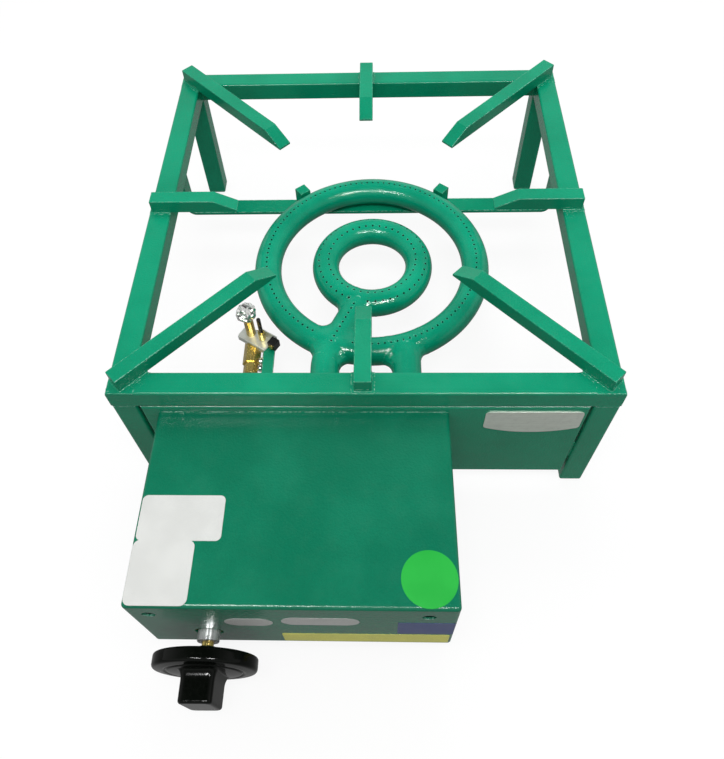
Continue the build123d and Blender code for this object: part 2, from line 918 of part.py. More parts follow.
def make_return_spring():
    coil_radius = (spring_outside - spring_wire) / 2
    start = spring_start + spring_wire / 2 + thread_room
    height = box_front + chamber_end - spring_wire / 2 - thread_room - start
    with BuildPart() as return_spring:
        with BuildLine() as coil:
            Helix(
                height / spring_turns, height, coil_radius,
                center=(tap_x, start, tap_z), direction=(0, 1, 0),
            )
        with BuildSketch(Plane(origin=coil.line @ 0, z_dir=coil.line % 0)):
            Circle(spring_wire / 2)
        sweep(path=coil.line, is_frenet=True)
    save(return_spring, "return_spring")


def make_safety_magnet():
    plug_start = box_front + tap_body_end - magnet_plug_length
    head_start = box_front + tap_body_end
    with BuildPart() as safety_magnet:
        rod(facing_rear(tap_x, magnet_start, tap_z), magnet_outside, plug_start - magnet_start)
        rod(
            facing_rear(tap_x, plug_start, tap_z), rear_bore - 2 * thread_room,
            magnet_plug_length,
        )
        hexagon(
            facing_rear(tap_x, head_start, tap_z), magnet_flats, magnet_end - tap_body_end,
        )
    save(safety_magnet, "safety_magnet")


make_tap_body()
make_tap_sleeve()
make_tap_spindle()
make_push_rod()
make_return_spring()
make_safety_magnet()


# Knob
def make_knob():
    dome_rise = disc_front - knob_dome
    with BuildPart() as knob:
        with BuildSketch(level(tap_x, 0, tap_z)) as profile:
            with BuildLine():
                Polyline(
                    (0, dome_rise), (0, knob_back), (knob_hub / 2, knob_back),
                    (knob_hub / 2, disc_back), (knob_radius, disc_back),
                    (knob_radius, disc_front),
                )
                ThreePointArc(
                    (knob_radius, disc_front),
                    (knob_radius / sqrt(2), disc_front - knob_dome / 2),
                    (0, dome_rise),
                )
            make_face()
            fillet(profile.vertices().group_by(Axis.X)[-1], radius=knob_rounding)
        revolve(axis=Axis((tap_x, 0, tap_z), (0, 1, 0)))
        groove_share = knob_groove_radius / knob_radius
        groove_y = disc_front - knob_dome * (1 - groove_share**2)
        with Locations(facing_front(tap_x, groove_y, tap_z)):
            Torus(knob_groove_radius, knob_groove, mode=Mode.SUBTRACT)
        with BuildSketch(facing_front(tap_x, disc_front, tap_z)):
            RectangleRounded(grip_width, grip_span, grip_corner, rotation=grip_lean)
        extrude(amount=grip_length, taper=grip_draft)
        grip_rim = knob.edges().group_by(Axis.Y)[0]
        fillet(grip_rim, radius=grip_edge)
        with BuildSketch(facing_front(tap_x, knob_back, tap_z)):
            flatted_round(thread_room)
        extrude(amount=spindle_into_knob + thread_room, mode=Mode.SUBTRACT)
    save(knob, "knob")


make_knob()


# Gas line from the inlet to the injectors
def make_gas_manifold():
    length = manifold_end - manifold_start
    bore = manifold_outside - 2 * manifold_wall
    start = facing_right(manifold_start, manifold_y, manifold_z)
    stubs = [facing_rear(x, manifold_y, manifold_z) for x in (inner_feed_x, outer_feed_x)]
    with BuildPart() as gas_manifold:
        rod(start, manifold_outside, length)
        for stub in stubs:
            rod(stub, stub_outside, stub_end - manifold_y)
        rod(start, bore, length - manifold_wall, mode=Mode.SUBTRACT)
        for stub in stubs:
            rod(stub, stub_bore, stub_end - manifold_y, mode=Mode.SUBTRACT)
    save(gas_manifold, "gas_manifold")


def make_manifold_nut():
    start = facing_right(manifold_start, manifold_y, manifold_z)
    with BuildPart() as manifold_nut:
        hexagon(start, manifold_nut_flats, manifold_nut_length)
        rod(
            start, manifold_outside + 2 * thread_room, manifold_nut_length,
            mode=Mode.SUBTRACT,
        )
    save(manifold_nut, "manifold_nut")


def make_manifold_bracket():
    top = manifold_z - manifold_outside / 2
    reach = panel_y - manifold_y + bracket_past_manifold
    with BuildPart() as manifold_bracket:
        with BuildSketch(facing_right(bracket_x, panel_y, top)):
            Rectangle(reach, bracket_thickness, align=(Align.MAX, Align.MAX))
            Rectangle(bracket_thickness, bracket_upright, align=(Align.MAX, Align.MAX))
        extrude(amount=bracket_width / 2, both=True)
        inner_bend = manifold_bracket.edges().filter_by(Axis.X).group_by(Axis.Z)[-2]
        fillet(inner_bend.sort_by(Axis.Y)[-1], radius=bracket_thickness / 2)
    save(manifold_bracket, "manifold_bracket")


def make_injectors():
    plug_end = feed_end + end_plug_length
    shank_start = stub_end + injector_hex
    with BuildPart() as injectors:
        for x in (inner_feed_x, outer_feed_x):
            rod(
                facing_front(x, stub_end, manifold_z), injector_tail - 2 * thread_room,
                stub_length / 2,
            )
            hexagon(facing_rear(x, stub_end, manifold_z), injector_flats, injector_hex)
            rod(facing_rear(x, shank_start, manifold_z), injector_shank, plug_end - shank_start)
            with Locations(facing_rear(x, plug_end, manifold_z)):
                Cone(
                    injector_shank / 2, injector_tip / 2, injector_nose,
                    align=(Align.CENTER, Align.CENTER, Align.MIN),
                )
            rod(
                facing_rear(x, stub_end - stub_length, manifold_z), injector_bore,
                plug_end + injector_nose - stub_end + stub_length, mode=Mode.SUBTRACT,
            )
    save(injectors, "injectors")


def make_end_plugs():
    with BuildPart() as end_plugs:
        for x in (inner_feed_x, outer_feed_x):
            start = facing_rear(x, feed_end, manifold_z)
            rod(start, 2 * (pipe_inside - thread_room), end_plug_length)
            rod(
                start, injector_shank + 2 * thread_room, end_plug_length,
                mode=Mode.SUBTRACT,
            )
    save(end_plugs, "end_plugs")


def make_air_shutter(name, x):
    inside = pipe_outside + 2 * turn_room
    outside = inside + 2 * shutter_wall
    start = facing_rear(x, feed_end + shutter_from_end, ring_height)
    with BuildPart() as air_shutter:
        rod(start, outside, shutter_length)
        rod(start, inside, shutter_length, mode=Mode.SUBTRACT)
        cut_air_windows(x, outside)
    save(air_shutter, name)


def make_inlet_connector():
    total = inlet_out + sheet + inlet_hex + inlet_tail_length
    rear_end = panel_y + sheet + inlet_out
    relief_start = panel_y + sheet + inlet_nut_length
    with BuildPart() as inlet_connector:
        rod(facing_front(inlet_x, rear_end, inlet_z), inlet_thread, inlet_out + sheet)
        with BuildSketch(facing_rear(inlet_x, relief_start, inlet_z)):
            Circle(inlet_thread / 2)
            Circle(inlet_thread / 2 - inlet_relief_depth, mode=Mode.SUBTRACT)
        extrude(amount=inlet_relief_width, mode=Mode.SUBTRACT)
        hexagon(facing_front(inlet_x, panel_y, inlet_z), inlet_flats, inlet_hex)
        rod(
            facing_front(inlet_x, panel_y - inlet_hex, inlet_z), inlet_tail, inlet_tail_length,
        )
        rod(
            facing_front(inlet_x, rear_end, inlet_z), inlet_pipe_outside - 2 * inlet_pipe_wall,
            total, mode=Mode.SUBTRACT,
        )
        rod(
            facing_rear(inlet_x, rear_end - total, inlet_z),
            inlet_pipe_outside + 2 * thread_room, inlet_socket, mode=Mode.SUBTRACT,
        )
    save(inlet_connector, "inlet_connector")


def make_inlet_nut():
    start = facing_rear(inlet_x, panel_y + sheet, inlet_z)
    with BuildPart() as inlet_nut_piece:
        hexagon(start, inlet_nut_flats, inlet_nut_length)
        rod(start, inlet_thread + 2 * thread_room, inlet_nut_length, mode=Mode.SUBTRACT)
    save(inlet_nut_piece, "inlet_nut")


def make_inlet_pipe():
    start_y = panel_y - inlet_hex - inlet_tail_length + inlet_socket
    turn_y = box_front + inlet_depth
    end_x = tap_x - tap_body_outside / 2 + pipe_socket
    with BuildPart() as inlet_pipe:
        with BuildLine() as run:
            FilletPolyline(
                (inlet_x, start_y, inlet_z), (inlet_x, turn_y, inlet_z),
                (inlet_x, turn_y, tap_z), (end_x, turn_y, tap_z),
                radius=inlet_pipe_bend,
            )
        with BuildSketch(facing_front(inlet_x, start_y, inlet_z)):
            Circle(inlet_pipe_outside / 2)
            Circle(inlet_pipe_outside / 2 - inlet_pipe_wall, mode=Mode.SUBTRACT)
        sweep(path=run.line)
    save(inlet_pipe, "inlet_pipe")


make_gas_manifold()
make_manifold_nut()
make_manifold_bracket()
make_injectors()
make_end_plugs()
make_air_shutter("inner_air_shutter", inner_feed_x)
make_air_shutter("outer_air_shutter", outer_feed_x)
make_inlet_connector()
make_inlet_nut()
make_inlet_pipe()


# Pilot group
def pilot_place(height):
    # level plane on the pilot plate, with X along the plate
    way = (cos(radians(pilot_plate_turn)), sin(radians(pilot_plate_turn)), 0)
    return Plane(
        origin=(pilot_plate_x, pilot_plate_y, height), x_dir=way, z_dir=(0, 0, 1),
    )


def make_pilot_plate():
    half_width = pilot_plate_width / 2
    with BuildPart() as pilot_plate:
        with BuildSketch(pilot_place(pilot_plate_bottom)):
            RectangleRounded(pilot_plate_length, pilot_plate_width, pilot_plate_corner)
            with Locations((pilot_tab_start, half_width)):
                Rectangle(
                    pilot_tab_length, pilot_tab_thickness, align=(Align.MIN, Align.MAX),
                )
        extrude(amount=pilot_plate_thickness)
        with BuildSketch(pilot_place(pilot_plate_top)):
            with Locations((pilot_tab_start, half_width)):
                Rectangle(
                    pilot_tab_length, pilot_tab_thickness, align=(Align.MIN, Align.MAX),
                )
        extrude(amount=pilot_tab_height)
    save(pilot_plate, "pilot_plate")


def clip_plane(height):
    place = pilot_place(height)
    corner = Vector(pilot_plate_length / 2, pilot_plate_width / 2 - pilot_tab_thickness)
    return Plane(
        origin=place.from_local_coords(corner), x_dir=place.x_dir, z_dir=place.z_dir,
    )


def clip_screw_plane(outwards):
    # the plane of the clip's front face at the screw, facing outwards (1) or inwards (-1)
    place = clip_plane(pilot_plate_bottom + clip_height / 2)
    spot = place.from_local_coords(Vector(clip_side / 2, -clip_side))
    return Plane(origin=spot, z_dir=place.y_dir * -outwards)


def make_probe_clip():
    with BuildPart() as probe_clip:
        with BuildSketch(clip_plane(pilot_plate_bottom)):
            Rectangle(clip_side, clip_side, align=(Align.MIN, Align.MAX))
        extrude(amount=clip_height)
        chamfer(probe_clip.edges().group_by(Axis.Z)[-1], length=clip_edge)
        rod(
            clip_screw_plane(-1), clip_screw_shank + 2 * thread_room,
            clip_screw_length + thread_room, mode=Mode.SUBTRACT,
        )
    save(probe_clip, "probe_clip")


def make_clip_screw():
    with BuildPart() as clip_screw:
        rod(clip_screw_plane(1), clip_screw_head, clip_screw_head_height)
        rod(clip_screw_plane(-1), clip_screw_shank, clip_screw_length)
    save(clip_screw, "clip_screw")


def make_pilot_tube():
    start = level(pilot_x, pilot_y, pilot_plate_top)
    with BuildPart() as pilot_tube_piece:
        rod(start, pilot_tube, pilot_tube_length)
        rod(start, pilot_tube_bore, pilot_tube_length, mode=Mode.SUBTRACT)
    save(pilot_tube_piece, "pilot_tube")


def make_pilot_hood():
    neck = pilot_tube / 2 + thread_room
    neck_outside = neck + hood_wall
    band_top = hood_flare + hood_band
    dome_top = band_top + hood_dome
    band_inside = hood_radius - hood_wall
    with BuildPart() as pilot_hood:
        with BuildSketch(facing_front(pilot_x, pilot_y, pilot_tube_top)):
            with BuildLine():
                Polyline(
                    (hood_mouth, dome_top - hood_wall), (hood_mouth, dome_top),
                    (band_inside, band_top + hood_wall), (hood_radius, band_top),
                    (hood_radius, hood_flare), (neck_outside, 0),
                    (neck_outside, -hood_neck), (neck, -hood_neck), (neck, 0),
                    (band_inside, hood_flare), (band_inside, band_top - hood_wall / 2),
                    close=True,
                )
            make_face()
        revolve(axis=Axis((pilot_x, pilot_y, 0), (0, 0, 1)))
        window_height = pilot_tube_top + hood_flare + hood_band / 2
        with Locations(level(pilot_x, pilot_y, window_height)):
            with PolarLocations(0, hood_windows):
                Box(
                    2 * hood_radius, hood_window, hood_window,
                    align=(Align.MIN, Align.CENTER, Align.CENTER), mode=Mode.SUBTRACT,
                )
    save(pilot_hood, "pilot_hood")


def make_pilot_elbow():
    length = elbow_rear_y - elbow_front_y
    with BuildPart() as pilot_elbow:
        hexagon(facing_front(elbow_x, elbow_rear_y, elbow_z), elbow_flats, length)
        rod(
            level(pilot_x, pilot_y, elbow_z), elbow_neck,
            pilot_plate_bottom - elbow_z,
        )
        rod(
            facing_rear(elbow_x, elbow_front_y, elbow_z), pilot_line + 2 * thread_room,
            pipe_socket, mode=Mode.SUBTRACT,
        )
    save(pilot_elbow, "pilot_elbow")


def make_pilot_nut():
    start = facing_front(elbow_x, elbow_front_y, elbow_z)
    with BuildPart() as pilot_nut:
        hexagon(start, pilot_nut_flats, pilot_nut_length)
        rod(start, pilot_line + 2 * thread_room, pilot_nut_length, mode=Mode.SUBTRACT)
    save(pilot_nut, "pilot_nut")


def make_pilot_line():
    start_y = box_front + pilot_line_depth
    start_z = tap_z - tap_body_outside / 2 + pipe_socket
    shift_end = panel_y - pilot_line_sweep / 2
    shift_start = shift_end - pilot_line_sweep
    with BuildPart() as pilot_line_piece:
        with BuildLine() as run:
            FilletPolyline(
                (tap_x, start_y, start_z), (tap_x, start_y, elbow_z),
                (tap_x, shift_start, elbow_z), (elbow_x, shift_end, elbow_z),
                (elbow_x, elbow_front_y + pipe_socket, elbow_z),
                radius=pilot_line_bend,
            )
        with BuildSketch(facing_down(tap_x, start_y, start_z)):
            Circle(pilot_line / 2)
        sweep(path=run.line)
    save(pilot_line_piece, "pilot_line")


def make_thermocouple():
    start = level(probe_x, probe_y, pilot_plate_top)
    with BuildPart() as thermocouple:
        rod(start, probe_base, probe_base_height)
        rod(start, probe_tip, probe_height)
        tip_edge = thermocouple.edges().group_by(Axis.Z)[-1]
        fillet(tip_edge, radius=probe_tip_rounding)
        shoulder = thermocouple.edges().filter_by(GeomType.CIRCLE).sort_by(SortBy.RADIUS)[-1]
        chamfer(shoulder, length=probe_shoulder)
    save(thermocouple, "thermocouple")


def make_thermocouple_lead():
    rear = box_front + magnet_end
    with BuildPart() as thermocouple_lead:
        with BuildLine() as run:
            FilletPolyline(
                (probe_x, probe_y, pilot_plate_bottom),
                (probe_x, probe_y, lead_height),
                (probe_x, panel_y + lead_level_end, lead_height),
                (probe_x, panel_y + lead_rise_end, lead_rise),
                (probe_x, panel_y - lead_past_panel, lead_rise),
                (tap_x, rear + lead_straight, tap_z),
                (tap_x, rear, tap_z),
                radius=lead_bend,
            )
        with BuildSketch(facing_down(probe_x, probe_y, pilot_plate_bottom)):
            Circle(lead_outside / 2)
        sweep(path=run.line)
    save(thermocouple_lead, "thermocouple_lead")


def make_pilot_arm():
    length = arm_end_y - panel_y - sheet
    with BuildPart() as pilot_arm:
        with BuildSketch(level(arm_x, panel_y + sheet, pilot_plate_bottom - arm_thickness)):
            Rectangle(arm_width, length, align=(Align.CENTER, Align.MIN))
        extrude(amount=arm_thickness)
        with BuildSketch(facing_rear(arm_x, panel_y + sheet, pilot_plate_bottom)):
            Rectangle(arm_width, arm_foot, align=(Align.CENTER, Align.MIN))
        extrude(amount=arm_thickness)
        with BuildSketch(facing_left(arm_left + arm_thickness, arm_end_y, pilot_plate_bottom)):
            Rectangle(arm_leg_length, arm_leg, align=(Align.MAX, Align.MIN))
        extrude(amount=arm_thickness)
        for place in arm_screw_places():
            rod(place, arm_screw + 2 * thread_room, 2 * arm_thickness, mode=Mode.SUBTRACT)
    save(pilot_arm, "pilot_arm")


def arm_screw_places():
    y = pilot_y - arm_screw_ahead
    return [facing_right(arm_left, y - n * arm_screw_step, arm_screw_z) for n in range(2)]


def make_arm_screws():
    with BuildPart() as arm_screws:
        for place in arm_screw_places():
            rod(place, arm_screw, arm_screw_length)
            back = Plane(origin=place.origin, x_dir=place.x_dir, z_dir=place.z_dir * -1)
            rod(back, arm_screw_head, arm_screw_head_height)
    save(arm_screws, "arm_screws")


make_pilot_plate()
make_probe_clip()
make_clip_screw()
make_pilot_tube()
make_pilot_hood()
make_pilot_elbow()
make_pilot_nut()
make_pilot_line()
make_thermocouple()
make_thermocouple_lead()
make_pilot_arm()
make_arm_screws()
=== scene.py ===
import bpy
import math
from mathutils import Matrix, Vector


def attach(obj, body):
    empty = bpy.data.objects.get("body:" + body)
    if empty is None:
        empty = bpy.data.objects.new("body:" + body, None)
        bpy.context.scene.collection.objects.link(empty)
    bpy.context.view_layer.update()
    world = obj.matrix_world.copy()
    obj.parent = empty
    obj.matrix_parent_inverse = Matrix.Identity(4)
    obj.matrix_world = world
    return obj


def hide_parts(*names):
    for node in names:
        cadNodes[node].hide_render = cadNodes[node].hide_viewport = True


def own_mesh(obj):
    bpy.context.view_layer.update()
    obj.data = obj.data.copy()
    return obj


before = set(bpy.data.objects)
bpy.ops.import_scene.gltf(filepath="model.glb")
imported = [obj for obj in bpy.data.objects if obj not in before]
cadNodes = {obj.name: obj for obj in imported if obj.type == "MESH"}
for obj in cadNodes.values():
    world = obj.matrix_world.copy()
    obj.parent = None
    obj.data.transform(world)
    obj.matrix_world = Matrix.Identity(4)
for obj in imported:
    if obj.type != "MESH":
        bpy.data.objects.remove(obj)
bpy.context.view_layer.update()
bpy.ops.object.select_all(action="DESELECT")
scene = bpy.context.scene
mm = 0.001


def say(words):
    print("burner scene:", words)


# camera, found by fitting known corners of the stand to the photograph
view = dict(
    place=(0.01298, -0.37288, 0.64389), pitch=54.14, yaw=-3.41, roll=2.96,
    focal=723.8, middle=(354.17, 313.72), image=(724, 759),
)


def makeCamera():
    pitch, yaw, roll = (math.radians(view[k]) for k in ("pitch", "yaw", "roll"))
    ahead = Vector((math.sin(yaw) * math.cos(pitch), math.cos(yaw) * math.cos(pitch), -math.sin(pitch)))
    levelRight = Vector((math.cos(yaw), -math.sin(yaw), 0))
    levelDown = ahead.cross(levelRight)
    right = levelRight * math.cos(roll) + levelDown * math.sin(roll)
    down = levelDown * math.cos(roll) - levelRight * math.sin(roll)
    bpy.ops.object.camera_add()
    camera = bpy.context.object
    camera.name = "photoCamera"
    turn = Matrix((right, -down, -ahead)).transposed().to_4x4()
    camera.matrix_world = Matrix.Translation(view["place"]) @ turn
    wide, high = view["image"]
    lens = camera.data
    lens.sensor_fit = "AUTO"
    lens.sensor_width = 36
    lens.lens = view["focal"] / high * lens.sensor_width
    lens.shift_x = (wide / 2 - view["middle"][0]) / high
    lens.shift_y = (view["middle"][1] - high / 2) / high
    lens.clip_start = 0.02
    lens.clip_end = 30
    scene.camera = camera


# studio
studio = dict(
    rightLight=dict(place=(0.37, -0.68, 1.18), aim=(0.0, 0.05, 0.08), size=(0.40, 0.05), power=21),
    leftLight=dict(place=(-0.32, -0.70, 1.18), aim=(0.0, 0.05, 0.08), size=(0.40, 0.05), power=21),
    frontLight=dict(place=(0.02, -0.44, 1.46), aim=(0.0, 0.05, 0.08), size=(0.6, 0.3), power=6.8),
    rearLight=dict(place=(0, 0.6, 1.15), aim=(0.0, 0.1, 0.1), size=(0.6, 0.4), power=3.6),
    sky=dict(towards=(0, 0.2, 0.98), low=0.31, high=1.07),
    gloss=dict(fromLow=0.42, toHigh=0.95, pale=0.95, overhead=0.03),
    floor=dict(size=6, tone=0.95, shade=0.12, bounce=0.25, gloss=0.26),
)


def makeLight(name, facts):
    bpy.ops.object.light_add(type="AREA", location=facts["place"])
    lamp = bpy.context.object
    lamp.name = name
    lamp.data.shape = "RECTANGLE"
    lamp.data.size, lamp.data.size_y = facts["size"]
    lamp.data.energy = facts["power"]
    way = Vector(facts["aim"]) - Vector(facts["place"])
    lamp.rotation_euler = way.to_track_quat("-Z", "Y").to_euler()
    lamp.visible_camera = False
    return lamp


def addMath(tree, operation, first, second, clamp=False):
    node = tree.nodes.new("ShaderNodeMath")
    node.operation = operation
    node.use_clamp = clamp
    for place, value in enumerate((first, second)):
        if isinstance(value, (int, float)):
            node.inputs[place].default_value = value
        else:
            tree.links.new(value, node.inputs[place])
    return node.outputs[0]


def addRange(tree, value, low, high, toLow=0.0, toHigh=1.0, curve="SMOOTHSTEP"):
    node = tree.nodes.new("ShaderNodeMapRange")
    node.interpolation_type = curve
    tree.links.new(value, node.inputs["Value"])
    for label, number in (("From Min", low), ("From Max", high), ("To Min", toLow), ("To Max", toHigh)):
        node.inputs[label].default_value = number
    return node.outputs[0]


def makeWorld():
    world = bpy.data.worlds.new("paleStudio")
    scene.world = world
    world.use_nodes = True
    world.cycles.sampling_method = "NONE"  # so that gloss never picks up the soft light
    tree = world.node_tree
    tree.nodes.clear()
    output = tree.nodes.new("ShaderNodeOutputWorld")
    path = tree.nodes.new("ShaderNodeLightPath")
    place = tree.nodes.new("ShaderNodeTexCoord")
    # soft light that comes mostly from above and a little from behind
    sky = studio["sky"]
    lean = tree.nodes.new("ShaderNodeVectorMath")
    lean.operation = "DOT_PRODUCT"
    lean.inputs[1].default_value = sky["towards"]
    tree.links.new(place.outputs["Generated"], lean.inputs[0])
    lit = tree.nodes.new("ShaderNodeBackground")
    strength = addRange(tree, lean.outputs["Value"], 0, 1, sky["low"], sky["high"], "LINEAR")
    tree.links.new(strength, lit.inputs["Strength"])
    # what shines in gloss: pale all round, darker straight above
    gloss = studio["gloss"]
    split = tree.nodes.new("ShaderNodeSeparateXYZ")
    tree.links.new(place.outputs["Generated"], split.inputs[0])
    height = addRange(
        tree, split.outputs["Z"], gloss["fromLow"], gloss["toHigh"], gloss["pale"], gloss["overhead"], "LINEAR",
    )
    shown = tree.nodes.new("ShaderNodeBackground")
    tree.links.new(addMath(tree, "MAXIMUM", path.outputs["Is Camera Ray"], height), shown.inputs["Strength"])
    mix = tree.nodes.new("ShaderNodeMixShader")
    seen = addMath(tree, "MAXIMUM", path.outputs["Is Camera Ray"], path.outputs["Is Glossy Ray"])
    tree.links.new(seen, mix.inputs["Fac"])
    tree.links.new(lit.outputs[0], mix.inputs[1])
    tree.links.new(shown.outputs[0], mix.inputs[2])
    tree.links.new(mix.outputs[0], output.inputs["Surface"])
    for background in (lit, shown):
        background.inputs["Color"].default_value = (1, 1, 1, 1)


def makeFloor():
    facts = studio["floor"]
    bpy.ops.mesh.primitive_plane_add(size=facts["size"], location=(0, 0, -0.0002))
    floor = bpy.context.object
    floor.name = "studioFloor"
    material = bpy.data.materials.new("paleFloor")
    material.use_nodes = True
    tree = material.node_tree
    tree.nodes.clear()
    output = tree.nodes.new("ShaderNodeOutputMaterial")
    path = tree.nodes.new("ShaderNodeLightPath")
    lit = tree.nodes.new("ShaderNodeBsdfDiffuse")
    tone = addRange(tree, path.outputs["Is Diffuse Ray"], 0, 1, facts["tone"], facts["bounce"], "LINEAR")
    tree.links.new(tone, lit.inputs["Color"])
    pale = tree.nodes.new("ShaderNodeEmission")
    pale.inputs["Color"].default_value = (1, 1, 1, 1)
    straight = addMath(tree, "MAXIMUM", path.outputs["Is Camera Ray"], path.outputs["Is Transmission Ray"])
    shine = addMath(tree, "MULTIPLY", path.outputs["Is Glossy Ray"], facts["gloss"])
    tree.links.new(addMath(tree, "MAXIMUM", straight, shine), pale.inputs["Strength"])
    seen = addMath(tree, "MAXIMUM", straight, path.outputs["Is Glossy Ray"])
    mix = tree.nodes.new("ShaderNodeMixShader")
    tree.links.new(addMath(tree, "MULTIPLY", seen, 1 - facts["shade"]), mix.inputs["Fac"])
    tree.links.new(lit.outputs[0], mix.inputs[1])
    tree.links.new(pale.outputs[0], mix.inputs[2])
    tree.links.new(mix.outputs[0], output.inputs["Surface"])
    material.cycles.emission_sampling = "NONE"
    floor.data.materials.append(material)


makeCamera()
for lampName in ("rightLight", "leftLight"):  # these two only shine back from gloss
    makeLight(lampName, studio[lampName]).visible_diffuse = False
for lampName in ("frontLight", "rearLight"):
    makeLight(lampName, studio[lampName]).visible_glossy = False
makeWorld()
makeFloor()
scene.view_settings.view_transform = "Standard"
say("camera, light and floor are up")


# shader groups
def newGroup(name, inputs, outputs):
    group = bpy.data.node_groups.new(name, "ShaderNodeTree")
    for label, kind, value in inputs:
        socket = group.interface.new_socket(name=label, in_out="INPUT", socket_type=kind)
        if value is not None:
            socket.default_value = value
    for label, kind in outputs:
        group.interface.new_socket(name=label, in_out="OUTPUT", socket_type=kind)
    return group, group.nodes.new("NodeGroupInput"), group.nodes.new("NodeGroupOutput")


def addNoise(tree, coords, scale, detail=2.0, roughness=0.5):
    node = tree.nodes.new("ShaderNodeTexNoise")
    node.inputs["Detail"].default_value = detail
    node.inputs["Roughness"].default_value = roughness
    if isinstance(scale, (int, float)):
        node.inputs["Scale"].default_value = scale
    else:
        tree.links.new(scale, node.inputs["Scale"])
    tree.links.new(coords, node.inputs["Vector"])
    return node.outputs["Fac"]


def addMix(tree, share, first, second, blend="MIX"):
    node = tree.nodes.new("ShaderNodeMix")
    node.data_type = "RGBA"
    node.blend_type = blend
    node.clamp_factor = True
    for socket, value in ((node.inputs[0], share), (node.inputs[6], first), (node.inputs[7], second)):
        if isinstance(value, (int, float, tuple)):
            socket.default_value = value
        else:
            tree.links.new(value, socket)
    return node.outputs[2]


def makeSkinGroup():
    # sprayed skin: cloudy colour, orange peel height and uneven gloss
    group, given, gives = newGroup(
        "sprayedSkin",
        [
            ("Base", "NodeSocketColor", (0.5, 0.5, 0.5, 1)), ("Deep", "NodeSocketColor", (0.4, 0.4, 0.4, 1)),
            ("Peel Scale", "NodeSocketFloat", 700.0), ("Grain Scale", "NodeSocketFloat", 2400.0),
            ("Cloud Scale", "NodeSocketFloat", 18.0), ("Roughness", "NodeSocketFloat", 0.3),
        ],
        [("Color", "NodeSocketColor"), ("Roughness", "NodeSocketFloat"), ("Height", "NodeSocketFloat")],
    )
    coords = group.nodes.new("ShaderNodeTexCoord").outputs["Object"]
    cloud = addNoise(group, coords, given.outputs["Cloud Scale"], 4.0)
    peel = addNoise(group, coords, given.outputs["Peel Scale"], 1.0)
    grain = addNoise(group, coords, given.outputs["Grain Scale"], 2.0)
    mottled = addMix(group, addRange(group, cloud, 0.35, 0.65), given.outputs["Deep"], given.outputs["Base"])
    specks = addRange(group, grain, 0.3, 0.7, 0.82, 1.14)
    speckled = addMix(group, 1.0, mottled, specks, "MULTIPLY")
    group.links.new(speckled, gives.inputs["Color"])
    uneven = addMath(group, "MULTIPLY", addMath(group, "SUBTRACT", cloud, 0.5), 0.18)
    group.links.new(addMath(group, "ADD", given.outputs["Roughness"], uneven, True), gives.inputs["Roughness"])
    height = addMath(group, "ADD", peel, addMath(group, "MULTIPLY", grain, 0.18))
    group.links.new(height, gives.inputs["Height"])
    return group


def makeEdgeHighlightAndGrimeGroup():
    # where a surface turns sharply upwards, broken up by noise: the mask for painted highlight on up-facing edges, and
    # for grime on label edges
    group, given, gives = newGroup(
        "edgeHighlightAndGrime",
        [
            ("Radius", "NodeSocketFloat", 0.0012), ("Amount", "NodeSocketFloat", 1.0),
            ("Break Scale", "NodeSocketFloat", 300.0),
        ],
        [("Mask", "NodeSocketFloat")],
    )
    bevel = group.nodes.new("ShaderNodeBevel")
    bevel.samples = 4
    group.links.new(given.outputs["Radius"], bevel.inputs["Radius"])
    plain = group.nodes.new("ShaderNodeNewGeometry")
    dot = group.nodes.new("ShaderNodeVectorMath")
    dot.operation = "DOT_PRODUCT"
    group.links.new(bevel.outputs[0], dot.inputs[0])
    group.links.new(plain.outputs["Normal"], dot.inputs[1])
    turned = addRange(group, dot.outputs["Value"], 0.99, 0.8)
    parts = group.nodes.new("ShaderNodeSeparateXYZ")
    group.links.new(bevel.outputs[0], parts.inputs[0])
    # only up-facing edges count, where the lamps would catch them; this makes it a painted highlight mask
    turned = addMath(group, "MULTIPLY", turned, addRange(group, parts.outputs["Z"], 0.15, 0.5))
    coords = group.nodes.new("ShaderNodeTexCoord").outputs["Object"]
    broken = addRange(group, addNoise(group, coords, given.outputs["Break Scale"], 3.0), 0.38, 0.62)
    mask = addMath(group, "MULTIPLY", addMath(group, "MULTIPLY", turned, broken), given.outputs["Amount"], True)
    group.links.new(mask, gives.inputs["Mask"])
    return group


def makeDustGroup():
    # thin dust that settles on what faces up
    group, given, gives = newGroup(
        "settledDust",
        [("Amount", "NodeSocketFloat", 0.2), ("Scale", "NodeSocketFloat", 60.0)],
        [("Mask", "NodeSocketFloat")],
    )
    coords = group.nodes.new("ShaderNodeTexCoord").outputs["Object"]
    patch = addRange(group, addNoise(group, coords, given.outputs["Scale"], 5.0, 0.65), 0.42, 0.8)
    normal = group.nodes.new("ShaderNodeNewGeometry")
    parts = group.nodes.new("ShaderNodeSeparateXYZ")
    group.links.new(normal.outputs["Normal"], parts.inputs[0])
    upward = addRange(group, parts.outputs["Z"], 0.2, 0.95)
    mask = addMath(group, "MULTIPLY", addMath(group, "MULTIPLY", patch, upward), given.outputs["Amount"], True)
    group.links.new(mask, gives.inputs["Mask"])
    return group


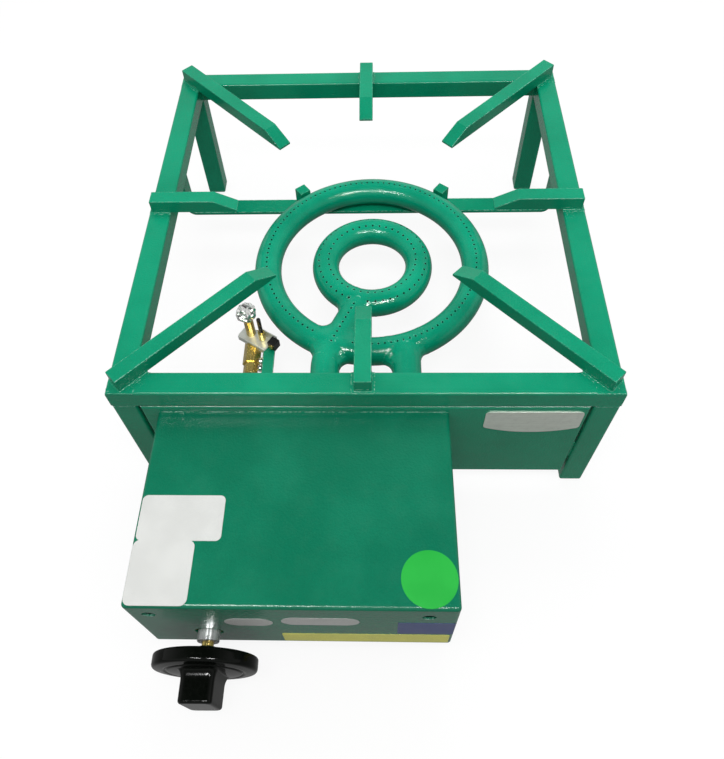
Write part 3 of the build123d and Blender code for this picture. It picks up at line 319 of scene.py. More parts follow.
def makeScratchGroup():
    # fine lines along one direction for brushed, drawn or turned metal
    group, given, gives = newGroup(
        "toolMarks",
        [
            ("Stretch", "NodeSocketVector", (30.0, 1500.0, 1500.0)),
            ("Roughness", "NodeSocketFloat", 0.3), ("Spread", "NodeSocketFloat", 0.2),
        ],
        [("Value", "NodeSocketFloat"), ("Roughness", "NodeSocketFloat"), ("Height", "NodeSocketFloat")],
    )
    coords = group.nodes.new("ShaderNodeTexCoord").outputs["Object"]
    scaled = group.nodes.new("ShaderNodeVectorMath")
    scaled.operation = "MULTIPLY"
    group.links.new(coords, scaled.inputs[0])
    group.links.new(given.outputs["Stretch"], scaled.inputs[1])
    lines = addNoise(group, scaled.outputs[0], 1.0, 4.0, 0.6)
    stain = addNoise(group, coords, 90.0, 4.0)
    group.links.new(addRange(group, lines, 0.3, 0.7), gives.inputs["Value"])
    spread = addMath(group, "MULTIPLY", addMath(group, "SUBTRACT", stain, 0.5), given.outputs["Spread"])
    fine = addMath(group, "MULTIPLY", addMath(group, "SUBTRACT", lines, 0.5), given.outputs["Spread"])
    rough = addMath(group, "ADD", given.outputs["Roughness"], addMath(group, "ADD", spread, fine), True)
    group.links.new(rough, gives.inputs["Roughness"])
    group.links.new(lines, gives.inputs["Height"])
    return group


skinGroup = makeSkinGroup()
edgeHighlightAndGrimeGroup = makeEdgeHighlightAndGrimeGroup()
dustGroup = makeDustGroup()
scratchGroup = makeScratchGroup()


def newMaterial(name):
    material = bpy.data.materials.new(name)
    material.use_nodes = True
    tree = material.node_tree
    return material, tree, tree.nodes["Principled BSDF"]


def placeGroup(tree, group, **values):
    node = tree.nodes.new("ShaderNodeGroup")
    node.node_tree = group
    for label, value in values.items():
        node.inputs[label.replace("_", " ")].default_value = value
    return node


def addBump(tree, shader, height, strength, distance):
    bump = tree.nodes.new("ShaderNodeBump")
    bump.inputs["Strength"].default_value = strength
    bump.inputs["Distance"].default_value = distance
    tree.links.new(height, bump.inputs["Height"])
    tree.links.new(bump.outputs[0], shader.inputs["Normal"])


# green enamel, in the three depths that the pieces show; each edge colour is a pale painted highlight for up-facing
# edges
enamelLooks = dict(
    frameEnamel=dict(base=(0.001, 0.285, 0.150), deep=(0.001, 0.245, 0.128), edge=(0.5, 0.86, 0.74), rough=0.2),
    burnerEnamel=dict(base=(0.002, 0.340, 0.190), deep=(0.001, 0.270, 0.150), edge=(0.16, 0.56, 0.42), rough=0.14),
    boxEnamel=dict(base=(0.001, 0.175, 0.092), deep=(0.001, 0.150, 0.078), edge=(0.5, 0.86, 0.74), rough=0.22),
)
enamelPeel = dict(
    strength=0.8, distance=0.00024, scale=620, shine=0.22, edgeHighlight=0.9, edgeHighlightWide=0.0013, edgeHighlightBreaks=420.0,
    dust=0.012, dustPatch=70.0, dustColour=(0.32, 0.42, 0.36),
)


def makeEnamel(name, look):
    material, tree, shader = newMaterial(name)
    skin = placeGroup(
        tree, skinGroup, Base=(*look["base"], 1), Deep=(*look["deep"], 1), Roughness=look["rough"],
        Peel_Scale=enamelPeel["scale"],
    )
    edge = placeGroup(
        tree, edgeHighlightAndGrimeGroup, Radius=enamelPeel["edgeHighlightWide"], Amount=enamelPeel["edgeHighlight"], Break_Scale=enamelPeel["edgeHighlightBreaks"],
    )
    dust = placeGroup(tree, dustGroup, Amount=enamelPeel["dust"], Scale=enamelPeel["dustPatch"])
    # painted highlight: up-facing edges are mixed towards the pale edge colour
    edgeHighlighted = addMix(tree, edge.outputs["Mask"], skin.outputs["Color"], (*look["edge"], 1))
    dusty = addMix(tree, dust.outputs["Mask"], edgeHighlighted, (*enamelPeel["dustColour"], 1))
    tree.links.new(dusty, shader.inputs["Base Color"])
    tree.links.new(skin.outputs["Roughness"], shader.inputs["Roughness"])
    shader.inputs["Specular IOR Level"].default_value = enamelPeel["shine"]
    addBump(tree, shader, skin.outputs["Height"], enamelPeel["strength"], enamelPeel["distance"])
    return material


# metals: colour, its darker stain, roughness and the way its tool marks run
# stains are the metal's own; the edge settings paint a highlight on up-facing edges
metalWearAndHighlight = dict(spread=0.22, edgeHighlightWide=0.0005, edgeHighlight=0.5, edgeHighlightBreaks=700.0, stainScale=160.0, stain=0.55)
metalLooks = dict(
    brushedSteel=dict(
        base=(0.70, 0.75, 0.67), stain=(0.52, 0.55, 0.49),
        rough=0.34, stretch=(40, 1800, 1800), metal=0.3,
    ),
    zincSteel=dict(base=(0.66, 0.67, 0.67), stain=(0.36, 0.37, 0.38), rough=0.27, stretch=(1400, 60, 1400), metal=0.7),
    paleZinc=dict(base=(0.72, 0.74, 0.70), stain=(0.50, 0.52, 0.48), rough=0.32, stretch=(60, 1400, 1400), metal=0.35),
    brightChrome=dict(
        base=(0.92, 0.92, 0.90), stain=(0.62, 0.60, 0.52),
        rough=0.07, stretch=(300, 300, 300), metal=0.95,
    ),
    turnedBrass=dict(
        base=(0.60, 0.46, 0.14), stain=(0.28, 0.20, 0.06),
        rough=0.26, stretch=(1500, 80, 1500), metal=0.75,
    ),
    probeBrass=dict(
        base=(0.66, 0.54, 0.17), stain=(0.34, 0.25, 0.08), rough=0.26, stretch=(1500, 1500, 60), metal=0.75,
        blackAbove=62.4,
    ),
    drawnTube=dict(base=(0.70, 0.70, 0.70), stain=(0.45, 0.45, 0.44), rough=0.28, stretch=(900, 40, 900), metal=0.8),
    copperLead=dict(base=(0.66, 0.33, 0.18), stain=(0.30, 0.14, 0.08), rough=0.33, stretch=(900, 60, 900), metal=0.8),
)


def makeMetal(name, look):
    material, tree, shader = newMaterial(name)
    wearAndHighlight = metalWearAndHighlight
    marks = placeGroup(tree, scratchGroup, Stretch=look["stretch"], Roughness=look["rough"], Spread=wearAndHighlight["spread"])
    edge = placeGroup(
        tree, edgeHighlightAndGrimeGroup, Radius=wearAndHighlight["edgeHighlightWide"], Amount=wearAndHighlight["edgeHighlight"], Break_Scale=wearAndHighlight["edgeHighlightBreaks"],
    )
    coords = tree.nodes.new("ShaderNodeTexCoord").outputs["Object"]
    stain = addRange(tree, addNoise(tree, coords, wearAndHighlight["stainScale"], 5.0, 0.62), 0.45, 0.75)
    toned = addMix(tree, marks.outputs["Value"], tuple(c * 0.86 for c in look["base"]) + (1,), (*look["base"], 1))
    stained = addMix(tree, addMath(tree, "MULTIPLY", stain, wearAndHighlight["stain"]), toned, (*look["stain"], 1))
    # painted highlight: up-facing edges are lightened
    stainedAndHighlighted = addMix(tree, edge.outputs["Mask"], stained, tuple(min(1, c * 1.25) for c in look["base"]) + (1,))
    if "blackAbove" in look:  # the end that sits in the flame
        parts = tree.nodes.new("ShaderNodeSeparateXYZ")
        tree.links.new(coords, parts.inputs[0])
        burnt = addRange(tree, parts.outputs["Z"], look["blackAbove"] * mm, (look["blackAbove"] + 1.5) * mm)
        stainedAndHighlighted = addMix(tree, burnt, stainedAndHighlighted, (0.01, 0.01, 0.01, 1))
    tree.links.new(stainedAndHighlighted, shader.inputs["Base Color"])
    tree.links.new(marks.outputs["Roughness"], shader.inputs["Roughness"])
    shader.inputs["Metallic"].default_value = look["metal"]
    addBump(tree, shader, marks.outputs["Height"], 0.25, 0.00004)
    return material


plasticLooks = dict(
    glossBlack=dict(
        base=(0.002, 0.003, 0.002), edge=(0.02, 0.021, 0.02),
        rough=0.13, peel=520.0, bump=0.14, shine=0.09,
    ),
    satinBlack=dict(base=(0.010, 0.010, 0.010), edge=(0.07, 0.07, 0.07), rough=0.42, peel=1500.0, bump=0.3, shine=0.3),
    # painted shade: flat black for the discs in the port mouths
    portShadeBlack=dict(
        base=(0.002, 0.003, 0.002), edge=(0.003, 0.004, 0.003),
        rough=0.8, peel=2500.0, bump=0.3, shine=0.02,
    ),
)


def makePlastic(name, look):
    material, tree, shader = newMaterial(name)
    skin = placeGroup(
        tree, skinGroup, Base=(*look["base"], 1), Deep=(*(c * 0.7 for c in look["base"]), 1),
        Peel_Scale=look["peel"], Roughness=look["rough"],
    )
    edge = placeGroup(tree, edgeHighlightAndGrimeGroup, Radius=0.0008, Amount=0.35, Break_Scale=500.0)
    dust = placeGroup(tree, dustGroup, Amount=0.006, Scale=240.0)
    # painted highlight: up-facing edges are mixed towards the lighter edge colour
    edgeHighlighted = addMix(tree, edge.outputs["Mask"], skin.outputs["Color"], (*look["edge"], 1))
    tree.links.new(addMix(tree, dust.outputs["Mask"], edgeHighlighted, (0.3, 0.3, 0.28, 1)), shader.inputs["Base Color"])
    tree.links.new(skin.outputs["Roughness"], shader.inputs["Roughness"])
    shader.inputs["Specular IOR Level"].default_value = look["shine"]
    addBump(tree, shader, skin.outputs["Height"], look["bump"], 0.00008)
    return material


labelLooks = dict(
    whiteLabel=dict(base=(0.62, 0.63, 0.61), rough=0.4),
    greenLabel=dict(base=(0.0, 0.41, 0.034), rough=0.42),
    yellowLabel=dict(base=(0.86, 0.85, 0.17), rough=0.38),
    blueLabel=dict(base=(0.05, 0.08, 0.24), rough=0.36),
    silverLabel=dict(base=(0.55, 0.56, 0.54), rough=0.36),
)


def makeLabel(name, look):
    material, tree, shader = newMaterial(name)
    skin = placeGroup(
        tree, skinGroup, Base=(*look["base"], 1), Deep=(*(c * 0.94 for c in look["base"]), 1),
        Peel_Scale=160.0, Grain_Scale=4200.0, Cloud_Scale=40.0, Roughness=look["rough"],
    )
    edge = placeGroup(tree, edgeHighlightAndGrimeGroup, Radius=0.0004, Amount=0.4, Break_Scale=600.0)
    grubby = addMix(tree, edge.outputs["Mask"], skin.outputs["Color"], tuple(c * 0.7 for c in look["base"]) + (1,))
    tree.links.new(grubby, shader.inputs["Base Color"])
    tree.links.new(skin.outputs["Roughness"], shader.inputs["Roughness"])
    shader.inputs["Specular IOR Level"].default_value = 0.25
    addBump(tree, shader, skin.outputs["Height"], 0.2, 0.0001)
    return material


finishes = {}
for finishName, finishLook in enamelLooks.items():
    finishes[finishName] = makeEnamel(finishName, finishLook)
for finishName, finishLook in metalLooks.items():
    finishes[finishName] = makeMetal(finishName, finishLook)
for finishName, finishLook in plasticLooks.items():
    finishes[finishName] = makePlastic(finishName, finishLook)
for finishName, finishLook in labelLooks.items():
    finishes[finishName] = makeLabel(finishName, finishLook)
say("finishes are mixed")

nodeFinishes = dict(
    burnerEnamel=["outer_ring", "inner_ring", "inner_feed_pipe", "outer_feed_pipe"],
    boxEnamel=["box_cover", "box_base"],
    brushedSteel=["bare_plate"],
    zincSteel=[
        "box_screws", "tap_sleeve", "push_rod", "return_spring", "manifold_bracket",
        "inner_air_shutter", "outer_air_shutter",
    ],
    paleZinc=["pilot_plate"],
    probeBrass=["thermocouple"],
    turnedBrass=[
        "tap_body", "tap_spindle", "gas_manifold", "manifold_nut", "injectors", "end_plugs",
        "inlet_connector", "inlet_nut", "pilot_tube", "pilot_elbow", "pilot_nut", "clip_screw",
    ],
    brightChrome=["safety_magnet", "pilot_hood", "arm_screws"],
    glossBlack=["knob"],
    satinBlack=["probe_clip"],
    drawnTube=["inlet_pipe", "pilot_line"],
    copperLead=["thermocouple_lead"],
)


def dressNodes():
    finishOf = {node: finish for finish, nodes in nodeFinishes.items() for node in nodes}
    for nodeName, node in cadNodes.items():
        finish = finishes[finishOf.get(nodeName, "frameEnamel")]
        node.data.materials.clear()
        node.data.materials.append(finish)


dressNodes()
say("the packed pieces are dressed")


# helpers for the new pieces
def startPiece(name):
    piece = bpy.context.object
    piece.name = name
    piece.data.name = name
    return piece


def applyPlace(piece):
    bpy.ops.object.select_all(action="DESELECT")
    piece.select_set(True)
    bpy.context.view_layer.objects.active = piece
    bpy.ops.object.transform_apply(location=True, rotation=True, scale=True)


def addModifier(piece, kind, **values):
    bpy.context.view_layer.objects.active = piece
    modifier = piece.modifiers.new(kind.lower(), kind)
    for label, value in values.items():
        setattr(modifier, label, value)
    bpy.ops.object.modifier_apply(modifier=modifier.name)


def finishPiece(piece, finish, body, smooth=40):
    applyPlace(piece)
    bpy.ops.object.mode_set(mode="EDIT")
    bpy.ops.mesh.select_all(action="SELECT")
    bpy.ops.mesh.remove_doubles(threshold=0.000005)
    bpy.ops.mesh.normals_make_consistent(inside=False)
    bpy.ops.object.mode_set(mode="OBJECT")
    bpy.ops.object.shade_smooth_by_angle(angle=math.radians(smooth))
    piece.data.materials.clear()
    piece.data.materials.append(finishes[finish])
    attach(piece, body)
    bpy.ops.object.select_all(action="DESELECT")
    return piece


# blank stickers: middle, size, corner radius and the way each faces
labelPlaces = dict(
    upperLabel=dict(finish="whiteLabel", middle=(-132.2, -186.6, 131.75), size=(62, 34), corner=4, faces="up"),
    lowerLabel=dict(finish="whiteLabel", middle=(-141.6, -225.8, 131.95), size=(44.6, 45.2), corner=5, faces="up"),
    greenDot=dict(finish="greenLabel", middle=(47.0, -228.7, 131.75), size=(39.6, 39.6), corner=19.79, faces="up"),
    roundLabel=dict(finish="silverLabel", middle=(-82, -249.5, 93.75), size=(35, 20), corner=9.9, faces="front"),
    ovalLabel=dict(finish="silverLabel", middle=(-30, -249.5, 97.75), size=(56, 20), corner=9.9, faces="front"),
    yellowLabel=dict(finish="yellowLabel", middle=(1.7, -249.5, 47.75), size=(126.6, 24), corner=1.5, faces="front"),
    blueLabel=dict(finish="blueLabel", middle=(46.1, -249.5, 80.25), size=(41.2, 33), corner=1.5, faces="front"),
)
labelBuild = dict(thick=0.18, cornerSteps=10)


def makeLabelPiece(name, facts):
    across, along = facts["size"]
    bpy.ops.mesh.primitive_cube_add(size=1, location=(0, 0, 0))
    label = startPiece(name)
    label.dimensions = (across * mm, along * mm, labelBuild["thick"] * mm)
    applyPlace(label)
    bpy.ops.object.mode_set(mode="EDIT")
    bpy.ops.mesh.select_mode(type="EDGE")
    bpy.ops.mesh.select_all(action="DESELECT")
    bpy.ops.object.mode_set(mode="OBJECT")
    for edge in label.data.edges:
        ends = [label.data.vertices[v].co for v in edge.vertices]
        edge.select = abs(ends[0].z - ends[1].z) > 1e-6  # the four upright edges
    bpy.ops.object.mode_set(mode="EDIT")
    bpy.ops.mesh.bevel(offset=facts["corner"] * mm, segments=labelBuild["cornerSteps"], affect="EDGES")
    bpy.ops.object.mode_set(mode="OBJECT")
    label.location = [c * mm for c in facts["middle"]]
    lift = labelBuild["thick"] * mm / 2
    if facts["faces"] == "front":
        label.rotation_euler = (math.radians(90), 0, 0)
        label.location.y -= lift
    else:
        label.location.z += lift
    return finishPiece(label, facts["finish"], "stand", 30)


for labelName, labelFacts in labelPlaces.items():
    makeLabelPiece(labelName, labelFacts)
say("blank stickers are on")

# welds: the pieces' plain shapes are joined and softened, and only the filled creases are kept
def distanceToRing(point, facts):
    away = point - facts["middle"]
    return math.hypot(math.hypot(away.x, away.y) - facts["radius"], away.z) - facts["tube"]


def distanceToRun(point, facts):
    nearest = min(
        (point - (a + (b - a) * max(0, min(1, (point - a).dot(b - a) / (b - a).length_squared)))).length
        for a, b in zip(facts["run"], facts["run"][1:])
    )
    return nearest - facts["tube"]


def distanceToBar(point, facts):
    local = facts["turn"].inverted() @ (point - facts["middle"])
    past = [abs(local[k]) - facts["size"][k] / 2 for k in range(3)]
    return Vector([max(0, p) for p in past]).length + min(0, max(past))


def addRingShape(facts):
    bpy.ops.mesh.primitive_torus_add(
        location=facts["middle"], major_radius=facts["radius"], minor_radius=facts["tube"],
        major_segments=180, minor_segments=40,
    )
    shape = startPiece("ringShape")
    applyPlace(shape)
    if "cutAt" in facts:  # only the part near the weld is needed
        bpy.ops.object.mode_set(mode="EDIT")
        bpy.ops.mesh.select_all(action="SELECT")
        bpy.ops.mesh.bisect(plane_co=facts["cutAt"], plane_no=facts["cutWay"], use_fill=True, clear_outer=True)
        bpy.ops.object.mode_set(mode="OBJECT")
    return [shape]


def addRunShape(facts):
    shapes = []
    for a, b in zip(facts["run"], facts["run"][1:]):
        way = b - a
        bpy.ops.mesh.primitive_cylinder_add(
            vertices=48, radius=facts["tube"], depth=way.length, location=(a + b) / 2,
            rotation=way.to_track_quat("Z", "Y").to_euler(),
        )
        shapes.append(startPiece("runShape"))
        bpy.ops.mesh.primitive_uv_sphere_add(segments=48, ring_count=24, radius=facts["tube"], location=b)
        shapes.append(startPiece("runShape"))
    return shapes


def addBarShape(facts):
    bpy.ops.mesh.primitive_cube_add(size=1, location=facts["middle"])
    shape = startPiece("barShape")
    shape.rotation_euler = facts["turn"].to_euler()
    shape.scale = facts["size"]
    return [shape]


shapeKinds = dict(
    ring=(addRingShape, distanceToRing), run=(addRunShape, distanceToRun), bar=(addBarShape, distanceToBar),
)


def makeWeld(name, shapes, facts):
    built = [shape for kind, shape in shapes for shape in shapeKinds[kind][0](shape)]
    bpy.ops.object.select_all(action="DESELECT")
    for shape in built:
        shape.select_set(True)
    bpy.context.view_layer.objects.active = built[0]
    bpy.ops.object.join()
    weld = startPiece(name)
    applyPlace(weld)
    addModifier(weld, "REMESH", mode="VOXEL", voxel_size=facts["voxel"] * mm)
    if "fill" in facts:  # swell, merge and shrink back, which leaves the creases filled
        addModifier(weld, "DISPLACE", strength=facts["fill"] * mm, mid_level=0)
        addModifier(weld, "REMESH", mode="VOXEL", voxel_size=facts["voxel"] * mm)
        addModifier(weld, "DISPLACE", strength=-facts["fill"] * mm, mid_level=0)
    addModifier(weld, "SMOOTH", factor=0.5, iterations=facts["rounds"])
    lumps = bpy.data.textures.new(name + "Lumps", "CLOUDS")
    lumps.noise_scale = facts["lumpSize"] * mm
    addModifier(weld, "DISPLACE", texture=lumps, strength=facts["lump"] * mm, mid_level=0.5, texture_coords="GLOBAL")
    band, deep, ports = facts["band"] * mm, facts["deep"] * mm, facts.get("ports", [])
    bpy.ops.object.mode_set(mode="EDIT")
    bpy.ops.mesh.select_mode(type="FACE")
    bpy.ops.mesh.select_all(action="DESELECT")
    bpy.ops.object.mode_set(mode="OBJECT")
    reach = facts["portRoom"] * mm if ports else 0
    for face in weld.data.polygons:
        away = sorted(shapeKinds[kind][1](face.center, shape) for kind, shape in shapes)
        near = away[1] < band and away[0] > -deep
        if near and ports:
            near = all((face.center - port).xy.length > reach for port in ports)
        face.select = not near
    bpy.ops.object.mode_set(mode="EDIT")
    bpy.ops.mesh.delete(type="FACE")
    bpy.ops.object.mode_set(mode="OBJECT")
    addModifier(weld, "SOLIDIFY", thickness=facts["thick"] * mm, offset=-1, use_rim=True)
    return finishPiece(weld, facts["finish"], "stand", 60)


rings = dict(
    outer=dict(middle=Vector((4.9, 101.4, 72.15)) * mm, radius=105.5 * mm, tube=13.45 * mm),
    inner=dict(middle=Vector((5.8, 99.7, 72.15)) * mm, radius=47.3 * mm, tube=13.45 * mm),
)
feedRuns = dict(
    tube=13.45 * mm, height=72.15 * mm, innerAngle=255.5, innerTilt=25.3, innerX=-37.5 * mm, outerX=38 * mm,
    bend=40 * mm, bendSteps=6, front=-90 * mm, outerStart=4 * mm,
)


def innerFeedRun():
    angle, tilt = math.radians(feedRuns["innerAngle"]), math.radians(feedRuns["innerTilt"])
    start = rings["inner"]["middle"] + Vector((math.cos(angle), math.sin(angle), 0)) * rings["inner"]["radius"]
    way = Vector((-math.sin(tilt), -math.cos(tilt), 0))
    corner = start + way * ((feedRuns["innerX"] - start.x) / way.x)
    back = corner - way * feedRuns["bend"] * math.tan(tilt / 2)
    middle = back + Vector((-way.y, way.x, 0)) * feedRuns["bend"]
    points = [start]
    for step in range(feedRuns["bendSteps"] + 1):
        turn = Matrix.Rotation(tilt * step / feedRuns["bendSteps"], 3, "Z")
        points.append(middle + turn @ (back - middle))
    points.append(Vector((feedRuns["innerX"], feedRuns["front"], feedRuns["height"])))
    return points


def portPlaces():
    ports = []
    for ring, lean, angles in portRows["rings"]:
        middle, radius = rings[ring]["middle"], rings[ring]["radius"]
        for angle in angles:
            out = Vector((math.cos(math.radians(angle)), math.sin(math.radians(angle)), 0))
            rise = out * math.sin(math.radians(lean)) + Vector((0, 0, math.cos(math.radians(lean))))
            ports.append((middle + out * radius + rise * feedRuns["tube"], rise))
    start, corner = innerFeedRun()[:2]
    way = (corner - start).normalized()
    first, step, count = portRows["feed"]
    for number in range(count):
        ports.append((start + way * (first + step * number) * mm + Vector((0, 0, feedRuns["tube"])), Vector((0, 0, 1))))
    return ports


portRows = dict(
    rings=[
        ("outer", 0, [260.4 + 3.25 * n for n in range(105)]),
        ("inner", -15, [255.5 + 360 / 39 * n for n in range(39)]),
        ("inner", 29, [255.5 + (360 - 43 * 7.9) / 2 + 7.9 * n for n in range(44)]),
    ],
    feed=(13, 5.9, 9),
)
pipeWeld = dict(
    voxel=0.7, fill=6.5, rounds=30, lump=1.1, lumpSize=5.5, band=8.5, deep=0.7, thick=0.9, portRoom=1.7,
    finish="burnerEnamel", outerCut=45, innerCut=85,
)


def makePipeWelds():
    inner = dict(run=innerFeedRun(), tube=feedRuns["tube"])
    outerStart = Vector((feedRuns["outerX"], feedRuns["outerStart"], feedRuns["height"]))
    outerEnd = Vector((feedRuns["outerX"], feedRuns["front"], feedRuns["height"]))
    outer = dict(run=[outerStart, outerEnd], tube=feedRuns["tube"])
    facts = dict(pipeWeld, ports=[port for port, way in portPlaces()])
    front = dict(rings["outer"], cutAt=(0, pipeWeld["outerCut"] * mm, 0), cutWay=(0, 1, 0))
    near = dict(rings["inner"], cutAt=(0, pipeWeld["innerCut"] * mm, 0), cutWay=(0, 1, 0))
    makeWeld("outerRingWeldLeft", [("ring", front), ("run", inner)], facts)
    makeWeld("outerRingWeldRight", [("ring", front), ("run", outer)], facts)
    makeWeld("innerRingWeld", [("ring", near), ("run", inner)], facts)


makePipeWelds()
say("pipe welds are filled")

# painted shade: black discs just inside the mouths of the ports, standing in for their dark insides
portShade = dict(radius=1.04, sunk=0.12, thick=0.2, sides=16)


def makePortShade():
    bpy.ops.mesh.primitive_circle_add(
        vertices=portShade["sides"], radius=portShade["radius"] * mm, fill_type="NGON", location=(0, 0, 0),
    )
    first = bpy.context.object
    for number, (port, way) in enumerate(portPlaces()):
        mouth = first
        if number:
            mouth = first.copy()
            mouth.data = first.data.copy()
            scene.collection.objects.link(mouth)
        mouth.location = port - way * portShade["sunk"] * mm
        mouth.rotation_euler = way.to_track_quat("Z", "Y").to_euler()
        mouth.select_set(True)
    bpy.context.view_layer.objects.active = first
    bpy.ops.object.join()
    portShadeDiscs = startPiece("portShade")
    applyPlace(portShadeDiscs)
    addModifier(portShadeDiscs, "SOLIDIFY", thickness=portShade["thick"] * mm, offset=-1)
    finishPiece(portShadeDiscs, "portShadeBlack", "stand", 30)


makePortShade()
say("ports are dark")

barWeld = dict(voxel=0.45, rounds=26, lump=0.5, lumpSize=2.2, band=2.6, deep=0.4, thick=0.5, finish="frameEnamel")
barSizes = dict(
    side=13.6, top=160, rail=20, reach=200, middleY=100.5, cornerInset=9.8, sideInset=2.6, shift=-1.2, run=34,
)


def makeBarWelds():
    side, top, rail, reach = (barSizes[k] * mm for k in ("side", "top", "rail", "reach"))
    middle = Vector((0, barSizes["middleY"] * mm, 0))
    for name, angle in (("Right", 0), ("Rear", 90), ("Left", 180), ("Front", 270)):
        turn = Matrix.Rotation(math.radians(angle), 3, "Z")
        end = reach - barSizes["sideInset"] * mm
        shift = Vector((0, barSizes["shift"] * mm if angle in (0, 180) else 0, 0))
        long = barSizes["run"] * mm
        place = middle + shift + turn @ Vector((end - long / 2, 0, top + side / 2))
        bar = dict(middle=place, size=(long, side, side), turn=turn)
        place = middle + turn @ Vector((reach - rail / 2, 0, top - rail / 2))
        under = dict(middle=place, size=(rail, 3 * side, rail), turn=turn)
        makeWeld("barWeld" + name, [("bar", bar), ("bar", under)], barWeld)
    for name, angle in (("RearRight", 45), ("RearLeft", 135), ("FrontLeft", 225), ("FrontRight", 315)):
        turn = Matrix.Rotation(math.radians(angle), 3, "Z")
        end = reach * math.sqrt(2) - barSizes["cornerInset"] * mm
        long = barSizes["run"] * mm + rail
        place = middle + turn @ Vector((end - long / 2, 0, top + side / 2))
        shapes = [("bar", dict(middle=place, size=(long, side, side), turn=turn))]
        for which in (-1, 1):
            along = Matrix.Rotation(math.radians(angle + 45 * which), 3, "Z")
            other = Matrix.Rotation(math.radians(angle - 45 * which), 3, "Z")
            place = middle + along @ Vector((reach - rail / 2, 0, 0)) + other @ Vector((reach - rail * 1.5, 0, 0))
            place.z = top - rail / 2
            shapes.append(("bar", dict(middle=place, size=(rail, 3 * rail, rail), turn=along)))
        makeWeld("barWeld" + name, shapes, barWeld)


makeBarWelds()
say("bar welds are filled")

# ground welds between the legs and the rails, flush with the tubes
seamFacts = dict(reach=200, middleY=100.5, rail=20, corner=2.0, top=142.05, deep=2.4, sunk=0.02, bevel=0.25)


def makeSeamWelds():
    f = seamFacts
    strips = []
    long, tall = f["rail"] - 2 * f["corner"], 2 * f["corner"]
    for side in range(4):
        turn = Matrix.Rotation(math.radians(90 * side), 3, "Z")
        for end in (-1, 1):
            out = f["reach"] - f["sunk"] - f["deep"] / 2
            place = turn @ Vector((out, end * (f["reach"] - f["rail"] / 2), f["top"] - tall / 2))
            place.y += f["middleY"]
            bpy.ops.mesh.primitive_cube_add(size=1, location=place * mm, rotation=(0, 0, math.radians(90 * side)))
            strip = bpy.context.object
            strip.scale = (f["deep"] * mm, long * mm, tall * mm)
            strips.append(strip)
    bpy.ops.object.select_all(action="DESELECT")
    for strip in strips:
        strip.select_set(True)
    bpy.context.view_layer.objects.active = strips[0]
    bpy.ops.object.join()
    seams = startPiece("seamWelds")
    applyPlace(seams)
    addModifier(seams, "BEVEL", width=f["bevel"] * mm, segments=2)
    finishPiece(seams, "frameEnamel", "stand", 30)


makeSeamWelds()
say("leg seams are filled")

# knob, moulded in one piece
knobFacts = dict(
    middle=(-116.25, 63.25), back=-260.5, discBack=-267.0, discFront=-277.0, dome=2.5, radius=38.8, hub=6.75,
    rimBack=1.6, rimFront=2.6, groove=28.7, grooveWide=1.5, grooveDeep=1.0,
    grip=(25, 38), gripCorner=5, gripEnd=-300.5, gripEdge=2.2, lean=4, voxel=0.5, rounds=7,
    flare=[(-0.5, 5.2), (0.4, 4.0), (1.2, 2.7), (2.4, 1.5), (4.0, 0.7), (6.0, 0.2), (8.0, 0.0)],
)


def knobProfile():
    f = knobFacts
    outline = [(0, f["back"]), (f["hub"], f["back"]), (f["hub"], f["discBack"])]
    for step in range(7):  # back edge of the rim
        a = math.radians(90 - 15 * step)
        inward, along = f["rimBack"] * (1 - math.cos(a)), f["rimBack"] * (1 - math.sin(a))
        outline.append((f["radius"] - inward, f["discBack"] - along))
    for step in range(9):  # rounder front edge
        a = math.radians(11.25 * step)
        inward, along = f["rimFront"] * (1 - math.cos(a)), f["rimFront"] * (1 - math.sin(a))
        outline.append((f["radius"] - inward, f["discFront"] + along))
    steps = 60
    start = f["radius"] - f["rimFront"]
    for step in range(1, steps + 1):  # domed face with its groove
        r = start * (1 - step / steps)
        y = f["discFront"] - f["dome"] * (1 - (r / start) ** 2)
        into = max(0, 1 - abs(r - f["groove"]) / f["grooveWide"])
        outline.append((r, y + f["grooveDeep"] * math.sin(into * math.pi / 2) ** 2))
    return outline


